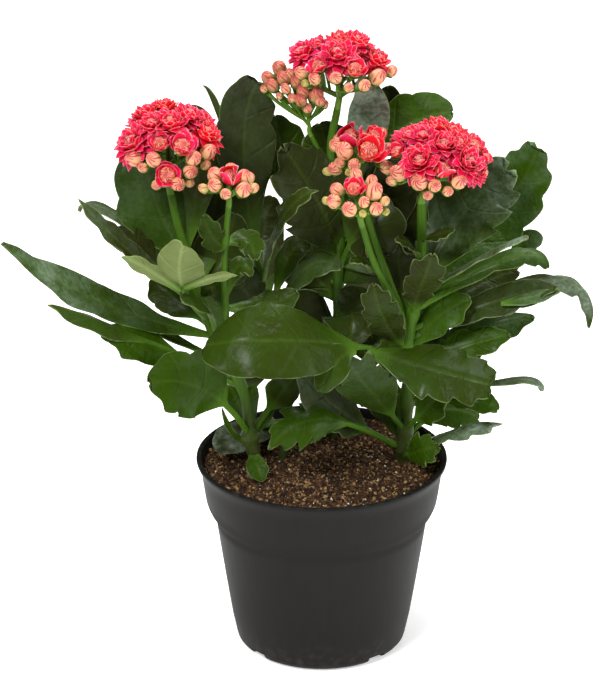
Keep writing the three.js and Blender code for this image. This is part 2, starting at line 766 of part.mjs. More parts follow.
// The green branches of a head with their buds, less the room that the flowers take.
function cyme(head) {
  const start = head.stalk.curve.getPointAt(1);
  const way = head.stalk.curve.getTangentAt(1);
  const base = start.clone().addScaledVector(way, FIT_GAP);
  const hub = vec(...head.hub);
  const neck = new THREE.CatmullRomCurve3([base, base.clone().addScaledVector(way, 3), hub]);
  const solids = [rod(neck, head.stalk.tipRadius, FORK_RADIUS * 1.2, STEM_SIDES)];
  const forks = head.forks.map((fork) => ({ end: vec(...fork), twigs: 0 }));
  forks.forEach(({ end }) => {
    solids.push(rod(new THREE.LineCurve3(hub, end), FORK_RADIUS, FORK_RADIUS, TWIG_SIDES));
  });
  head.buds.forEach((place) => {
    const foot = twigFoot(hub, forks, vec(...place));
    solids.push(budOnPedicel(foot, place, outward(place, head.hub), place[3]));
  });
  const carried = head.core ? forks.map(({ end }) => end.clone().add(head.core.reach)) : head.blooms;
  carried.forEach((place) => {
    const end = head.core ? place : vec(...place);
    const foot = twigFoot(hub, forks, end);
    solids.push(rod(new THREE.LineCurve3(foot, end), PEDICEL_RADIUS, PEDICEL_RADIUS, TWIG_SIDES));
  });
  return fuse([fuse(solids).subtract(bloomMass(head, FIT_GAP))]);
}

// The flowers of a head, and the small core that they stand out of.
function bloomMass(head, grow) {
  if (head.blooms.length === 0) return wasm.Manifold.union([]);
  const flowers = head.blooms.map((place) => (
    doubleFlower(place, outward(place, head.hub), place[3], grow)));
  if (head.core) flowers.push(core(head.core, grow));
  return wasm.Manifold.union(flowers);
}

function core({ centre, radii }, grow) {
  const levels = [-0.86, -0.35, 0.35, 0.86];
  const rings = levels.map((level) => {
    const share = Math.sqrt(1 - level * level);
    return Array.from({ length: 8 }, (_, k) => {
      const angle = (k / 8) * Math.PI * 2;
      return vec(
        centre[0] + (radii[0] + grow) * share * Math.cos(angle),
        centre[1] + (radii[1] + grow) * share * Math.sin(angle),
        centre[2] + (radii[2] + grow) * level,
      );
    });
  });
  return loft(rings);
}

// Each flower and bud is [x, y, z, size across].
const heads = {
  big_left: {
    stalk: leftStem,
    hub: [-71, -4, 243],
    forks: [[-80, -6, 250], [-61, -4, 250], [-72, 8, 250], [-70, -15, 240]],
    core: { centre: [-71, 1, 258], radii: [17, 18, 8], reach: vec(0, 2, 9) },
    blooms: [
      [-87, -8, 260, 14], [-69, -8, 266, 15], [-78, 6, 268, 15], [-54, -2, 260, 14], [-83, 0, 266, 13],
      [-62, 5, 265, 15], [-74, -17, 259, 12], [-63, -15, 258, 12], [-80, 18, 260, 15], [-66, 19, 262, 15],
    ],
    buds: [
      [-85, -17, 251, 6], [-77, -21, 252, 6], [-81, -19, 247, 6], [-58, -16, 250, 6], [-52, -9, 252, 6],
      [-54, -13, 246, 6], [-60, -21, 247, 7], [-67, -24, 241, 7], [-61, -21, 241, 6], [-77, -20, 240, 7],
      [-67, -22, 234, 6], [-70, -22, 247, 12], [-50, 9, 253, 6], [-92, 8, 252, 6], [-76, 27, 253, 6],
    ],
  },
  small_left: {
    stalk: smallLeftStalk,
    hub: [-43, -22, 236],
    forks: [[-49, -23, 240], [-43, -26, 239], [-37, -23, 240], [-43, -17, 240]],
    blooms: [[-43, -25, 248, 12]],
    buds: [
      [-51, -24, 247, 7], [-35, -22, 247, 7], [-50, -29, 241, 7], [-43, -31, 240, 7], [-36, -28, 240, 7],
      [-30, -22, 240, 6], [-54, -24, 242, 6], [-42, -15, 246, 7], [-50, -16, 243, 6], [-34, -15, 242, 6],
    ],
  },
  top: {
    stalk: backStem,
    hub: [8, 20, 270],
    forks: [[-3, 18, 276], [7, 11, 276], [17, 19, 277], [9, 30, 276]],
    core: { centre: [8, 23, 286], radii: [16, 15, 6], reach: vec(0, 2, 10) },
    blooms: [
      [6, 13, 293, 17], [-9, 18, 290, 15], [17, 26, 294, 15], [25, 20, 286, 15], [1, 28, 293, 14],
      [-2, 8, 287, 12], [15, 9, 287, 13], [15, 36, 288, 15], [-1, 36, 287, 15],
    ],
    buds: [
      [-10, 8, 283, 6], [-4, 4, 280, 7], [-9, 12, 277, 6], [28, 15, 280, 7], [6, 3, 281, 6],
      [32, 24, 281, 6], [17, 1, 281, 6], [2, 42, 281, 6],
    ],
  },
  upper_left: {
    stalk: upperLeftStalk,
    hub: [-6, 22, 255],
    forks: [[-16, 25, 267], [-7, 20, 261]],
    blooms: [],
    buds: [
      [-19, 28, 281, 8], [-18, 21, 278, 7], [-25, 26, 277, 7], [-23, 21, 272, 6], [-12, 26, 277, 6],
      [-15, 19, 272, 7], [-10, 22, 274, 7], [-8, 16, 269, 7], [-3, 18, 270, 6], [-6, 15, 263, 6],
      [0, 14, 264, 6], [-15, 17, 265, 6],
    ],
  },
  middle: {
    stalk: middleStalk,
    hub: [16, 2, 243],
    forks: [[8, -2, 246], [16, 3, 249], [23, 1, 248]],
    core: { centre: [20, 0, 255], radii: [7, 5, 3], reach: vec(0, 0, 7) },
    blooms: [[21, -8, 253, 14], [14, 1, 260, 12], [23, 4, 258, 12]],
    buds: [
      [29, 0, 250, 6], [8, -5, 254, 8], [7, -6, 246, 6], [14, -12, 247, 7], [12, -10, 240, 6],
      [4, -2, 241, 6], [1, 1, 236, 6], [18, 12, 252, 6], [27, 11, 254, 6], [8, 8, 252, 6],
    ],
  },
  front: {
    stalk: frontStalk,
    hub: [17, -24, 227],
    forks: [[9, -27, 232], [17, -29, 232], [24, -28, 232]],
    blooms: [[14, -31, 244, 12]],
    buds: [
      [24, -30, 242, 7], [5, -28, 243, 6], [3, -28, 235, 6], [11, -33, 233, 7], [19, -36, 237, 8],
      [26, -34, 232, 7], [29, -28, 238, 7], [18, -32, 228, 6], [30, -27, 229, 6], [20, -22, 246, 6],
    ],
  },
  big_right: {
    stalk: rightStem,
    hub: [49, -4, 236],
    forks: [[40, -5, 241], [50, -13, 239], [63, -6, 242], [53, 6, 243]],
    core: { centre: [53, 0, 249], radii: [20, 18, 8], reach: vec(0, 2, 9) },
    blooms: [
      [44, -16, 250, 16], [50, 0, 258, 15], [41, 2, 257, 14], [59, -7, 255, 15], [67, -12, 247, 14],
      [61, 6, 258, 14], [35, -9, 251, 12], [71, -1, 255, 13], [55, -20, 247, 13], [46, 17, 254, 15],
      [61, 18, 254, 15], [37, 12, 252, 13],
    ],
    buds: [
      [34, -15, 242, 9], [44, -21, 240, 7], [51, -23, 239, 7], [62, -20, 240, 7], [31, -11, 236, 6],
      [47, -19, 233, 6], [58, -19, 233, 6], [77, -7, 246, 6], [71, -13, 239, 6], [39, -15, 233, 6],
      [78, 8, 248, 6], [50, 27, 247, 6],
    ],
  },
};

// ---- the whole object ----

const parts = new THREE.Group();

function addPart(name, solid, color, roughness) {
  const material = new THREE.MeshStandardMaterial({ color, roughness, metalness: 0 });
  const mesh = new THREE.Mesh(toGeometry(solid), material);
  mesh.name = name;
  parts.add(mesh);
}

addPart('pot', pot(), POT_COLOUR, 0.45);
const rooted = [leftStem, rightStem, backStem, centreStem];
addPart('soil', soil(rooted.map((stem) => stemHole(stem.foot, stem.radius))), SOIL_COLOUR, 0.95);

const leafyStems = {
  leafy_stem_left: [
    { axis: leftStem, leaves: leftLeaves },
    { axis: smallLeftStalk, leaves: smallLeftLeaves },
  ],
  leafy_stem_right: [
    { axis: rightStem, leaves: rightLeaves },
    { axis: frontStalk, leaves: [] },
    { axis: middleStalk, leaves: [] },
  ],
  leafy_stem_back: [
    { axis: backStem, leaves: backLeaves },
    { axis: upperLeftStalk, leaves: [] },
  ],
  leafy_stem_centre: [
    { axis: centreStem, leaves: centreLeaves },
  ],
};
Object.entries(leafyStems).forEach(([name, branches]) => {
  addPart(name, leafyStem(branches), LEAF_COLOUR, 0.4);
});

Object.entries(heads).forEach(([name, head]) => {
  addPart(`cyme_${name}`, cyme(head), CYME_COLOUR, 0.5);
  if (head.blooms.length === 0) return;
  addPart(`blooms_${name}`, fuse([bloomMass(head, 0)]), BLOOM_COLOUR, 0.5);
});

export default parts;
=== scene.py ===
# Potted kalanchoe, dressed as in the photograph: a bushy succulent with lobed leaves and heads
# of double flowers, in a thin nursery pot of potting soil. The lists are in millimetres, in the
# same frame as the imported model, and each mesh is made in metres.

import itertools
import json
import math

import bpy
import numpy as np
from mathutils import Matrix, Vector

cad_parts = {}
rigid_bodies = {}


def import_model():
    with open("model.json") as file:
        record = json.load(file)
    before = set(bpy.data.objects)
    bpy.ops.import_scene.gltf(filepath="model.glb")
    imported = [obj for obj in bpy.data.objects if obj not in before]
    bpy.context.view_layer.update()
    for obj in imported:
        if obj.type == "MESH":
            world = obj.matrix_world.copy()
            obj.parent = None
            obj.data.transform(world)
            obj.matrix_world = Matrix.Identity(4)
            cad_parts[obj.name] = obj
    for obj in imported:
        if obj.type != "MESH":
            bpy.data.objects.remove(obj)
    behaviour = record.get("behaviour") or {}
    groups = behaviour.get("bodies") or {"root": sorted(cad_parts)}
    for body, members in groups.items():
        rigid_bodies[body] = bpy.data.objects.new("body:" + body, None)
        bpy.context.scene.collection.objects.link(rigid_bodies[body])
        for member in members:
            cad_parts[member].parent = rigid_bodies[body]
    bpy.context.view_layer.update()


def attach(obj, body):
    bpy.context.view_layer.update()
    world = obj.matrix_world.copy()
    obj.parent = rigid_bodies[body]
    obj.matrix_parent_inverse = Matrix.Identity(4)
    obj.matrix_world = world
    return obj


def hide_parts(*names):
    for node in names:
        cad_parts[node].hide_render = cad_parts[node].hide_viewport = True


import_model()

# ---- Camera, floor and light ----
# A catalogue photograph: a long lens that looks down a little on the plant, on a white table
# lit from below. A big soft light stands high at the front left, another one hangs above, and
# a lower one brightens the pot from the right.
CAMERA_PITCH = math.radians(22.5)
CAMERA_DISTANCE = 1.4
CAMERA_TARGET = Vector((-0.0104, 0.0, 0.155))
CAMERA_LENS = 155.86
FLOOR_RADIUS = 12000  # mm, as is its level
FLOOR_LEVEL = -0.2
FLOOR_SIDES = 96
SKY_LIGHT = 0.15
LIGHTS = {
    # name: (place, looks at, width in metres, watts)
    "key": ((-0.9, -1.3, 1.7), (0.0, 0.0, 0.17), 0.8, 48),
    "right": ((1.5, -0.5, 0.7), (0.0, 0.0, 0.12), 1.1, 16),
    "top": ((0.2, 0.5, 1.9), (0.0, 0.0, 0.2), 1.0, 42),
}


def placed(name, data):
    """A new object in the scene, round a mesh, a camera or a light."""
    result = bpy.data.objects.new(name, data)
    bpy.context.collection.objects.link(result)
    return result


camera_data = bpy.data.cameras.new("camera")
camera_data.lens = CAMERA_LENS
camera = placed("camera", camera_data)
back = Vector((0, -math.cos(CAMERA_PITCH), math.sin(CAMERA_PITCH)))
camera.location = CAMERA_TARGET + CAMERA_DISTANCE * back
camera.rotation_euler = (math.pi / 2 - CAMERA_PITCH, 0, 0)
bpy.context.scene.camera = camera
bpy.context.scene.view_settings.view_transform = "Standard"

world = bpy.data.worlds.new("studio")
world.use_nodes = True
sky = world.node_tree.nodes["Background"]
sky.inputs["Color"].default_value = (1.0, 1.0, 1.0, 1.0)
sky.inputs["Strength"].default_value = SKY_LIGHT
bpy.context.scene.world = world

for name, (place, target, width, watts) in LIGHTS.items():
    light = bpy.data.lights.new(name, "AREA")
    light.shape = "DISK"
    light.size = width
    light.energy = watts
    lamp = placed(name, light)
    lamp.location = place
    lamp.rotation_euler = (Vector(place) - Vector(target)).to_track_quat("Z", "Y").to_euler()


class Wire:
    """An output of a node. Python's signs between wires and numbers add Math nodes."""

    def __init__(self, nodes, socket):
        self.nodes = nodes
        self.socket = socket

    def math(self, operation, *others):
        return self.nodes.node("ShaderNodeMath", {"operation": operation}, [self, *others])

    def __add__(self, other):
        return self.math("ADD", other)

    def __sub__(self, other):
        return self.math("SUBTRACT", other)

    def __mul__(self, other):
        return self.math("MULTIPLY", other)

    def __truediv__(self, other):
        return self.math("DIVIDE", other)

    def __pow__(self, other):
        return self.math("POWER", other)

    def __rsub__(self, other):
        return self.nodes.node("ShaderNodeMath", {"operation": "SUBTRACT"}, [other, self])

    __radd__ = __add__
    __rmul__ = __mul__

    def between(self, low, high):
        """0 below low, 1 above high, and a soft step between them; low may be the larger."""
        values = {"Value": self, "From Min": low, "From Max": high}
        return self.nodes.node("ShaderNodeMapRange", {"interpolation_type": "SMOOTHSTEP"}, values)


class Nodes:
    """A node tree being built."""

    def __init__(self, tree):
        self.tree = tree

    def node(self, kind, settings=None, values=None, out=0):
        """Adds a node: its settings first, then the values or wires of its inputs."""
        made = self.tree.nodes.new(kind)
        for key, value in (settings or {}).items():
            if key == "stops":
                ramp = made.color_ramp.elements
                while len(ramp) < len(value):
                    ramp.new(1.0)
                for stop, (position, colour) in zip(ramp, value):
                    stop.position = position
                    stop.color = (*colour, 1.0)
            else:
                setattr(made, key, value)
        pairs = values.items() if isinstance(values, dict) else enumerate(values or [])
        for key, value in pairs:
            if isinstance(value, Wire):
                self.tree.links.new(value.socket, made.inputs[key])
            else:
                made.inputs[key].default_value = value
        return Wire(self, made.outputs[out])

    def axis(self, vector, name):
        """The X, Y or Z of a vector."""
        return self.node("ShaderNodeSeparateXYZ", values=[vector], out=name)


class Finish(Nodes):
    """A material being built round one Principled shader."""

    def __init__(self, name, constants=None):
        self.material = bpy.data.materials.new(name)
        self.material.use_nodes = True
        super().__init__(self.material.node_tree)
        self.shader = self.tree.nodes["Principled BSDF"]
        for key, value in (constants or {}).items():
            self.shader.inputs[key].default_value = value
        self.place = self.node("ShaderNodeTexCoord", out="Object")

    def stretched(self, scale):
        """Object coordinates, scaled apart along each axis."""
        return self.node("ShaderNodeMapping", values={"Vector": self.place, "Scale": scale})

    def noise(self, scale, detail=2.0, place=None):
        values = {"Vector": place or self.place, "Scale": scale, "Detail": detail}
        return self.node("ShaderNodeTexNoise", values=values)

    def attribute(self, name):
        return self.node("ShaderNodeAttribute", {"attribute_name": name}, out="Fac")

    def ramp(self, value, stops):
        return self.node("ShaderNodeValToRGB", {"stops": stops}, [value])

    def mix(self, amount, first, second):
        """Colour first where amount is 0, second where it is 1."""
        first, second = (c if isinstance(c, Wire) else (*c, 1.0) for c in (first, second))
        # the node's colours are its inputs 6 and 7 and its output 2
        values = {0: amount, 6: first, 7: second}
        return self.node("ShaderNodeMix", {"data_type": "RGBA"}, values, out=2)

    def bump(self, height, depth, under=None):
        """A Bump node: height from 0 to 1 stands for that many metres."""
        values = {"Height": height, "Distance": depth, "Strength": 1.0}
        if under:
            values["Normal"] = under
        return self.node("ShaderNodeBump", values=values)

    def wear(self, **wires):
        """Links wires to the shader's own sockets: base_color is Base Color."""
        for key, wire in wires.items():
            socket = self.shader.inputs[key.replace("_", " ").title()]
            self.tree.links.new(wire.socket, socket)
        return self.material


def add_piece(name, points, faces, material):
    """A smooth-shaded object from points in millimetres."""
    mesh = bpy.data.meshes.new(name)
    mesh.from_pydata((np.asarray(points, float) * 0.001).tolist(), [], faces)
    if material:
        mesh.materials.append(material)
    mesh.shade_smooth()
    return placed(name, mesh)


floor_finish = Finish("lit_table", {
    "Roughness": 0.9, "Specular IOR Level": 0.0, "Emission Strength": 0.45,
    "Emission Color": (1.0, 1.0, 1.0, 1.0),
})
floor_grain = floor_finish.noise(30.0, 3.0)
floor_finish.wear(base_color=floor_finish.mix(floor_grain, (0.90, 0.90, 0.90), (0.93, 0.93, 0.93)))
floor_ring = [
    (FLOOR_RADIUS * math.cos(a), FLOOR_RADIUS * math.sin(a), FLOOR_LEVEL)
    for a in np.linspace(0, 2 * math.pi, FLOOR_SIDES, endpoint=False)
]
floor = add_piece("floor", floor_ring, [list(range(FLOOR_SIDES))], floor_finish.material)

# ---- Pot ----
# A thin nursery pot, moulded in one piece from charcoal plastic: a taper wall that steps out
# to a taller collar, a rolled lip, and four drain notches in its bottom edge.
POT_SIDES = 144
POT_OUTSIDE = [
    # (radius, height) from the middle of the underside up to the lip
    (0, 0.9), (30, 0.9), (33.5, 0.5), (35.5, 0), (37.6, 0), (39.0, 0.5), (40.2, 1.4), (41.0, 2.4),
    (41.4, 3.8), (43.5, 14), (46.5, 33), (49.1, 50.5), (50.5, 60.5), (51.0, 63.8), (51.4, 65.6),
    (52.6, 67.6), (54.0, 69.8), (55.0, 72), (55.8, 74.5), (56.3, 77.5), (57.5, 86), (57.9, 89.2),
    (58.7, 91.4), (59.6, 93.2), (60.1, 94.4), (60.3, 95.2), (60.2, 95.8), (59.8, 96.0),
]
POT_INSIDE = [
    (58.5, 96.0), (57.9, 95.7), (57.4, 94.6), (56.8, 91), (55.9, 86), (54.3, 76), (53.5, 73),
    (52.0, 70.4), (50.3, 68), (49.4, 65), (47.2, 50), (40.2, 4.5), (38.8, 2.6), (36.5, 2.0), (0, 2.0),
]
NOTCH_COUNT = 4
NOTCH_TURN = 41
NOTCH_SIZE = (12, 12, 7.4)
NOTCH_TAPER = 0.82
NOTCH_RADIUS = 40


def ring(radius, heights, turns):
    """Points at one radius from Z, each at its own height."""
    return [(radius * math.cos(a), radius * math.sin(a), h) for a, h in zip(turns, heights)]


def shell_faces(rings, sides, turned_over=False):
    """Faces over a first point, rings of points that follow it, and a last point."""
    faces = []
    last = 1 + rings * sides
    for k in range(sides):
        after = (k + 1) % sides
        faces.append((0, 1 + after, 1 + k))
        for a in range(1, last - sides, sides):
            faces.append((a + k, a + after, a + sides + after, a + sides + k))
        faces.append((last - sides + k, last - sides + after, last))
    if turned_over:
        faces = [corners[:1] + corners[:0:-1] for corners in faces]
    return faces


def lathe(profile, sides):
    """Points and faces of a profile turned about Z, closed where it starts and ends on it."""
    turns = np.linspace(0, 2 * math.pi, sides, endpoint=False)
    points = [(0, 0, profile[0][1])]
    for radius, height in profile[1:-1]:
        points += ring(radius, [height] * sides, turns)
    points.append((0, 0, profile[-1][1]))
    return points, shell_faces(len(profile) - 2, sides)


def settled(piece, name):
    """The piece as its modifiers leave it, as a plain mesh on a new object."""
    depsgraph = bpy.context.evaluated_depsgraph_get()
    mesh = bpy.data.meshes.new_from_object(piece.evaluated_get(depsgraph))
    mesh.name = name
    return placed(name, mesh)


def drop(piece):
    """Takes a helper object out of the scene."""
    bpy.data.objects.remove(piece, do_unlink=True)


plastic = Finish("charcoal_plastic", {"Specular IOR Level": 0.09})
grain = plastic.noise(1500.0, 2.0)
cloud = plastic.noise(28.0, 4.0)
streaks = plastic.noise(1.0, 3.0, plastic.stretched((420, 420, 14)))
scuffs = plastic.noise(1.0, 2.0, plastic.stretched((900, 900, 60))).between(0.66, 0.8)
height = plastic.axis(plastic.place, "Z")
recess = height.between(0.060, 0.065) * height.between(0.078, 0.070)
dust = height.between(0.02, 0.0) * 0.3 + height.between(0.0945, 0.0965) * 0.25
dark = plastic.mix(cloud, (0.0084, 0.0078, 0.0073), (0.0112, 0.0104, 0.0097))
# painted light: a band under the collar step is lightened to fill in the shade that falls in the recess
recess_painted_lighter = plastic.mix(recess * 0.3, dark, (0.0160, 0.0150, 0.0142))
worn = plastic.mix(streaks * 0.4 + scuffs * 0.3, recess_painted_lighter, (0.019, 0.0178, 0.0168))
# darker along the top of the lip
lip_top_darker = plastic.mix(height.between(0.0935, 0.0955) * 0.7, worn, (0.0050, 0.0050, 0.0046))
dusty = plastic.mix(dust * plastic.noise(260.0, 3.0).between(0.4, 0.75), lip_top_darker, (0.07, 0.06, 0.05))
plastic.wear(
    base_color=dusty,
    roughness=cloud * 0.12 + streaks * 0.08 + recess * 0.25 + 0.42,
    normal=plastic.bump(grain * 0.5 + streaks * 0.5, 0.00012),
)

pot_points, pot_faces = lathe(POT_OUTSIDE + POT_INSIDE, POT_SIDES)
pot_blank = add_piece("pot_blank", pot_points, pot_faces, plastic.material)
notch_cutters = []
for number in range(NOTCH_COUNT):
    turn = math.radians(NOTCH_TURN + 360 * number / NOTCH_COUNT)
    corners = []
    for sx, sy, sz in itertools.product((-0.5, 0.5), repeat=3):
        along = NOTCH_RADIUS + sx * NOTCH_SIZE[0]
        across = sy * NOTCH_SIZE[1] * (1 if sz < 0 else NOTCH_TAPER)
        corners.append((
            along * math.cos(turn) - across * math.sin(turn),
            along * math.sin(turn) + across * math.cos(turn),
            sz * NOTCH_SIZE[2],
        ))
    sides = [(0, 1, 3, 2), (4, 6, 7, 5), (0, 4, 5, 1), (2, 3, 7, 6), (0, 2, 6, 4), (1, 5, 7, 3)]
    cutter = add_piece(f"notch_cutter_{number}", corners, sides, None)
    cut = pot_blank.modifiers.new("notch", "BOOLEAN")
    cut.operation = "DIFFERENCE"
    cut.object = cutter
    notch_cutters.append(cutter)
pot = settled(pot_blank, "pot_shell")
for helper in [pot_blank, *notch_cutters]:
    drop(helper)
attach(pot, "root")
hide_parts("pot")

# ---- Soil ----
# Peat potting soil, filled to just under the lip and slightly domed: dark crumbs, golden
# fibres and pale perlite lie loose on a bed that fills the pot below them.
SOIL_RINGS = 44
SOIL_SIDES = 120
SOIL_EDGE = 56.7
SOIL_LEVEL = 91.3
SOIL_DOME = 1.2
SOIL_DOME_REACH = 57.2
SOIL_BUMP = 0.35
SOIL_LUMP = 0.35
SOIL_WALL = [(53.6, 80), (51.6, 72), (48.9, 66), (45.5, 45), (40, 12), (37, 4), (0, 4)]
GRAIN_EDGE = 0.6  # a little more than a side of a grain's faces, in mm
FIBRE_RINGS = [
    # (along, bend, half thickness)
    (-2, 0, 0.06), (-0.9, 0.35, 0.16), (0.3, 0.3, 0.17), (1.4, 0, 0.12), (2, -0.3, 0.03),
]
FIBRE_TURNS = (0, 2.094, 4.189)


def soil_height(radius, turn):
    """The bed's height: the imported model's soft bumps, and smaller lumps on top of them."""
    broad = SOIL_DOME * (1 - (radius / SOIL_DOME_REACH) ** 2)
    bumps = np.sin(0.31 * radius + 3 * turn) + np.cos(5 * turn - 0.2 * radius)
    x = radius * np.cos(turn)
    y = radius * np.sin(turn)
    lumps = np.sin(1.3 * x + 0.9 * np.sin(0.7 * y)) * np.sin(1.1 * y + 1.2 * np.sin(0.9 * x + 2))
    return SOIL_LEVEL + broad + SOIL_BUMP * bumps + SOIL_LUMP * lumps


soil_finish = Finish("peat", {"Roughness": 0.95, "Specular IOR Level": 0.15})
lumps = soil_finish.noise(420.0, 4.0)
soil_shade = soil_finish.ramp(lumps, [
    (0.3, (0.012, 0.006, 0.004)), (0.5, (0.045, 0.022, 0.012)), (0.7, (0.11, 0.055, 0.028)),
])
soil_finish.wear(base_color=soil_shade, normal=soil_finish.bump(lumps, 0.002))

soil_turns = np.linspace(0, 2 * math.pi, SOIL_SIDES, endpoint=False)
soil_points = [(0, 0, float(soil_height(0.0, 0.0)))]
for number in range(1, SOIL_RINGS + 1):
    radius = SOIL_EDGE * number / SOIL_RINGS
    soil_points += ring(radius, soil_height(radius, soil_turns), soil_turns)
for radius, height in SOIL_WALL[:-1]:
    soil_points += ring(radius, [height] * SOIL_SIDES, soil_turns)
soil_points.append((0, 0, SOIL_WALL[-1][1]))
soil_faces = shell_faces(SOIL_RINGS + len(SOIL_WALL) - 1, SOIL_SIDES, turned_over=True)
soil = add_piece("soil_bed", soil_points, soil_faces, soil_finish.material)
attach(soil, "root")
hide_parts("soil")


class Recipe(Nodes):
    """A Geometry Nodes tree with named inputs; its first input is the geometry it starts from."""

    def __init__(self, name, inputs):
        super().__init__(bpy.data.node_groups.new(name, "GeometryNodeTree"))
        face = self.tree.interface
        face.new_socket("Geometry", in_out="INPUT", socket_type="NodeSocketGeometry")
        for key, (kind, value) in inputs.items():
            socket = face.new_socket(key, in_out="INPUT", socket_type=f"NodeSocket{kind}")
            if value is not None:
                socket.default_value = value
        face.new_socket("Geometry", in_out="OUTPUT", socket_type="NodeSocketGeometry")
        self.start = self.tree.nodes.new("NodeGroupInput")

    def given(self, name):
        return Wire(self, self.start.outputs[name])

    def random(self, low, high, seed=0):
        """A random number for each point or instance."""
        # the node's plain numbers are its inputs 2 and 3 and its output 1, its seed input 8
        values = {2: low, 3: high, 8: seed}
        return self.node("FunctionNodeRandomValue", {"data_type": "FLOAT"}, values, out=1)

    def read(self, name, kind="FLOAT"):
        """A value that the geometry carries under a name."""
        return self.node("GeometryNodeInputNamedAttribute", {"data_type": kind}, {"Name": name})

    def store(self, instances, name, value):
        """The instances, each with a value under a name."""
        settings = {"data_type": "FLOAT", "domain": "INSTANCE"}
        values = {"Geometry": instances, "Name": name, "Value": value}
        return self.node("GeometryNodeStoreNamedAttribute", settings, values)

    def shape_of(self, name):
        """The mesh of the object that is given under a name."""
        return self.node("GeometryNodeObjectInfo", values=[self.given(name)], out="Geometry")

    def finish(self, geometry):
        """Ends the tree: real mesh, smooth, in the material that was given."""
        real = self.node("GeometryNodeRealizeInstances", values=[geometry])
        smooth = self.node("GeometryNodeSetShadeSmooth", values=[real])
        done = self.node("GeometryNodeSetMaterial", values={
            "Geometry": smooth, "Material": self.given("Material"),
        })
        self.tree.links.new(done.socket, self.tree.nodes.new("NodeGroupOutput").inputs[0])

    def make(self, source, name, **values):
        """Runs the tree on an object, and gives what it makes as a plain mesh of its own."""
        modifier = source.modifiers.new(self.tree.name, "NODES")
        modifier.node_group = self.tree
        for item in self.tree.interface.items_tree:
            key = item.name.lower().replace(" ", "_")
            if item.in_out == "INPUT" and key in values:
                modifier[item.identifier] = values[key]
        result = settled(source, name)
        source.modifiers.remove(modifier)
        return result


strewing = Recipe("strew_on_soil", {
    "Grain": ("Object", None), "Material": ("Material", None), "Density": ("Float", 1.0),
    "Smallest": ("Float", 0.5), "Largest": ("Float", 1.0), "Tilt": ("Float", 3.14),
    "Reach": ("Float", 0.05), "Seed": ("Int", 1),
})
upward = strewing.axis(strewing.node("GeometryNodeInputNormal"), "Z")
spot = strewing.node("GeometryNodeInputPosition")
spot_x = strewing.axis(spot, "X")
spot_y = strewing.axis(spot, "Y")
from_middle = (spot_x * spot_x + spot_y * spot_y) ** 0.5
inside = from_middle.math("LESS_THAN", strewing.given("Reach"))
spots = strewing.node("GeometryNodeDistributePointsOnFaces", values={
    "Mesh": strewing.given("Geometry"), "Density": strewing.given("Density"),
    "Seed": strewing.given("Seed"),
    "Selection": strewing.node(
        "FunctionNodeCompare", {"data_type": "FLOAT", "operation": "GREATER_THAN"},
        {0: upward * inside, 1: 0.5}),
})
tilt = strewing.random(-1.0, 1.0, 5) * strewing.given("Tilt")
turned = strewing.node("ShaderNodeCombineXYZ", values=[
    tilt, strewing.random(-1.0, 1.0, 6) * strewing.given("Tilt"), strewing.random(0.0, 6.283, 7),
])
size_share = strewing.random(0.0, 1.0, 8) ** 2.2
span = strewing.given("Largest") - strewing.given("Smallest")
strewn = strewing.node("GeometryNodeInstanceOnPoints", values={
    "Points": spots, "Instance": strewing.shape_of("Grain"), "Rotation": turned,
    "Scale": strewing.given("Smallest") + span * size_share,
})
strewing.finish(strewing.store(strewn, "shade", strewing.random(0.0, 1.0, 9)))


def lump(name, squash, unevenness, seed):
    """A knobbly grain one millimetre across, of twenty faces."""
    golden = (1 + math.sqrt(5)) / 2
    corners = []
    for a in (-1, 1):
        for b in (-golden, golden):
            corners += [(0, a, b), (a, b, 0), (b, 0, a)]
    corners = np.array(corners) / math.sqrt(1 + golden ** 2) * 0.5
    random = np.random.default_rng(seed)
    uneven = corners * random.uniform(1 - unevenness, 1 + unevenness, (12, 1)) * squash
    faces = []
    for a, b, c in itertools.combinations(range(12), 3):
        sides = [np.linalg.norm(corners[i] - corners[j]) for i, j in ((a, b), (b, c), (c, a))]
        if max(sides) < GRAIN_EDGE:
            normal = np.cross(corners[b] - corners[a], corners[c] - corners[a])
            faces.append((a, b, c) if normal @ corners[a] > 0 else (a, c, b))
    return add_piece(name, uneven, faces, None)


def tube_faces(rings, sides):
    """Faces round rings of points that follow one another, with a flat face at each end."""
    faces = [tuple(range(sides))[::-1]]
    last = (rings - 1) * sides
    for a in range(0, last, sides):
        for k in range(sides):
            after = (k + 1) % sides
            faces.append((a + k, a + after, a + sides + after, a + sides + k))
    faces.append(tuple(range(last, last + sides)))
    return faces


def fibre(name):
    """A bent three-sided splinter, four millimetres long."""
    points = []
    for x, bend, half in FIBRE_RINGS:
        points += [(x, bend + half * math.cos(a), half * math.sin(a)) for a in FIBRE_TURNS]
    return add_piece(name, points, tube_faces(len(FIBRE_RINGS), len(FIBRE_TURNS)), None)


def grain_finish(name, stops):
    """The finish of loose grains, each in its own shade."""
    finish = Finish(name, {"Roughness": 0.9, "Specular IOR Level": 0.2})
    fine = finish.noise(1400.0, 3.0)
    shade = finish.ramp(finish.attribute("shade") * 0.75 + fine * 0.25, stops)
    return finish.wear(base_color=shade, normal=finish.bump(fine, 0.0003))


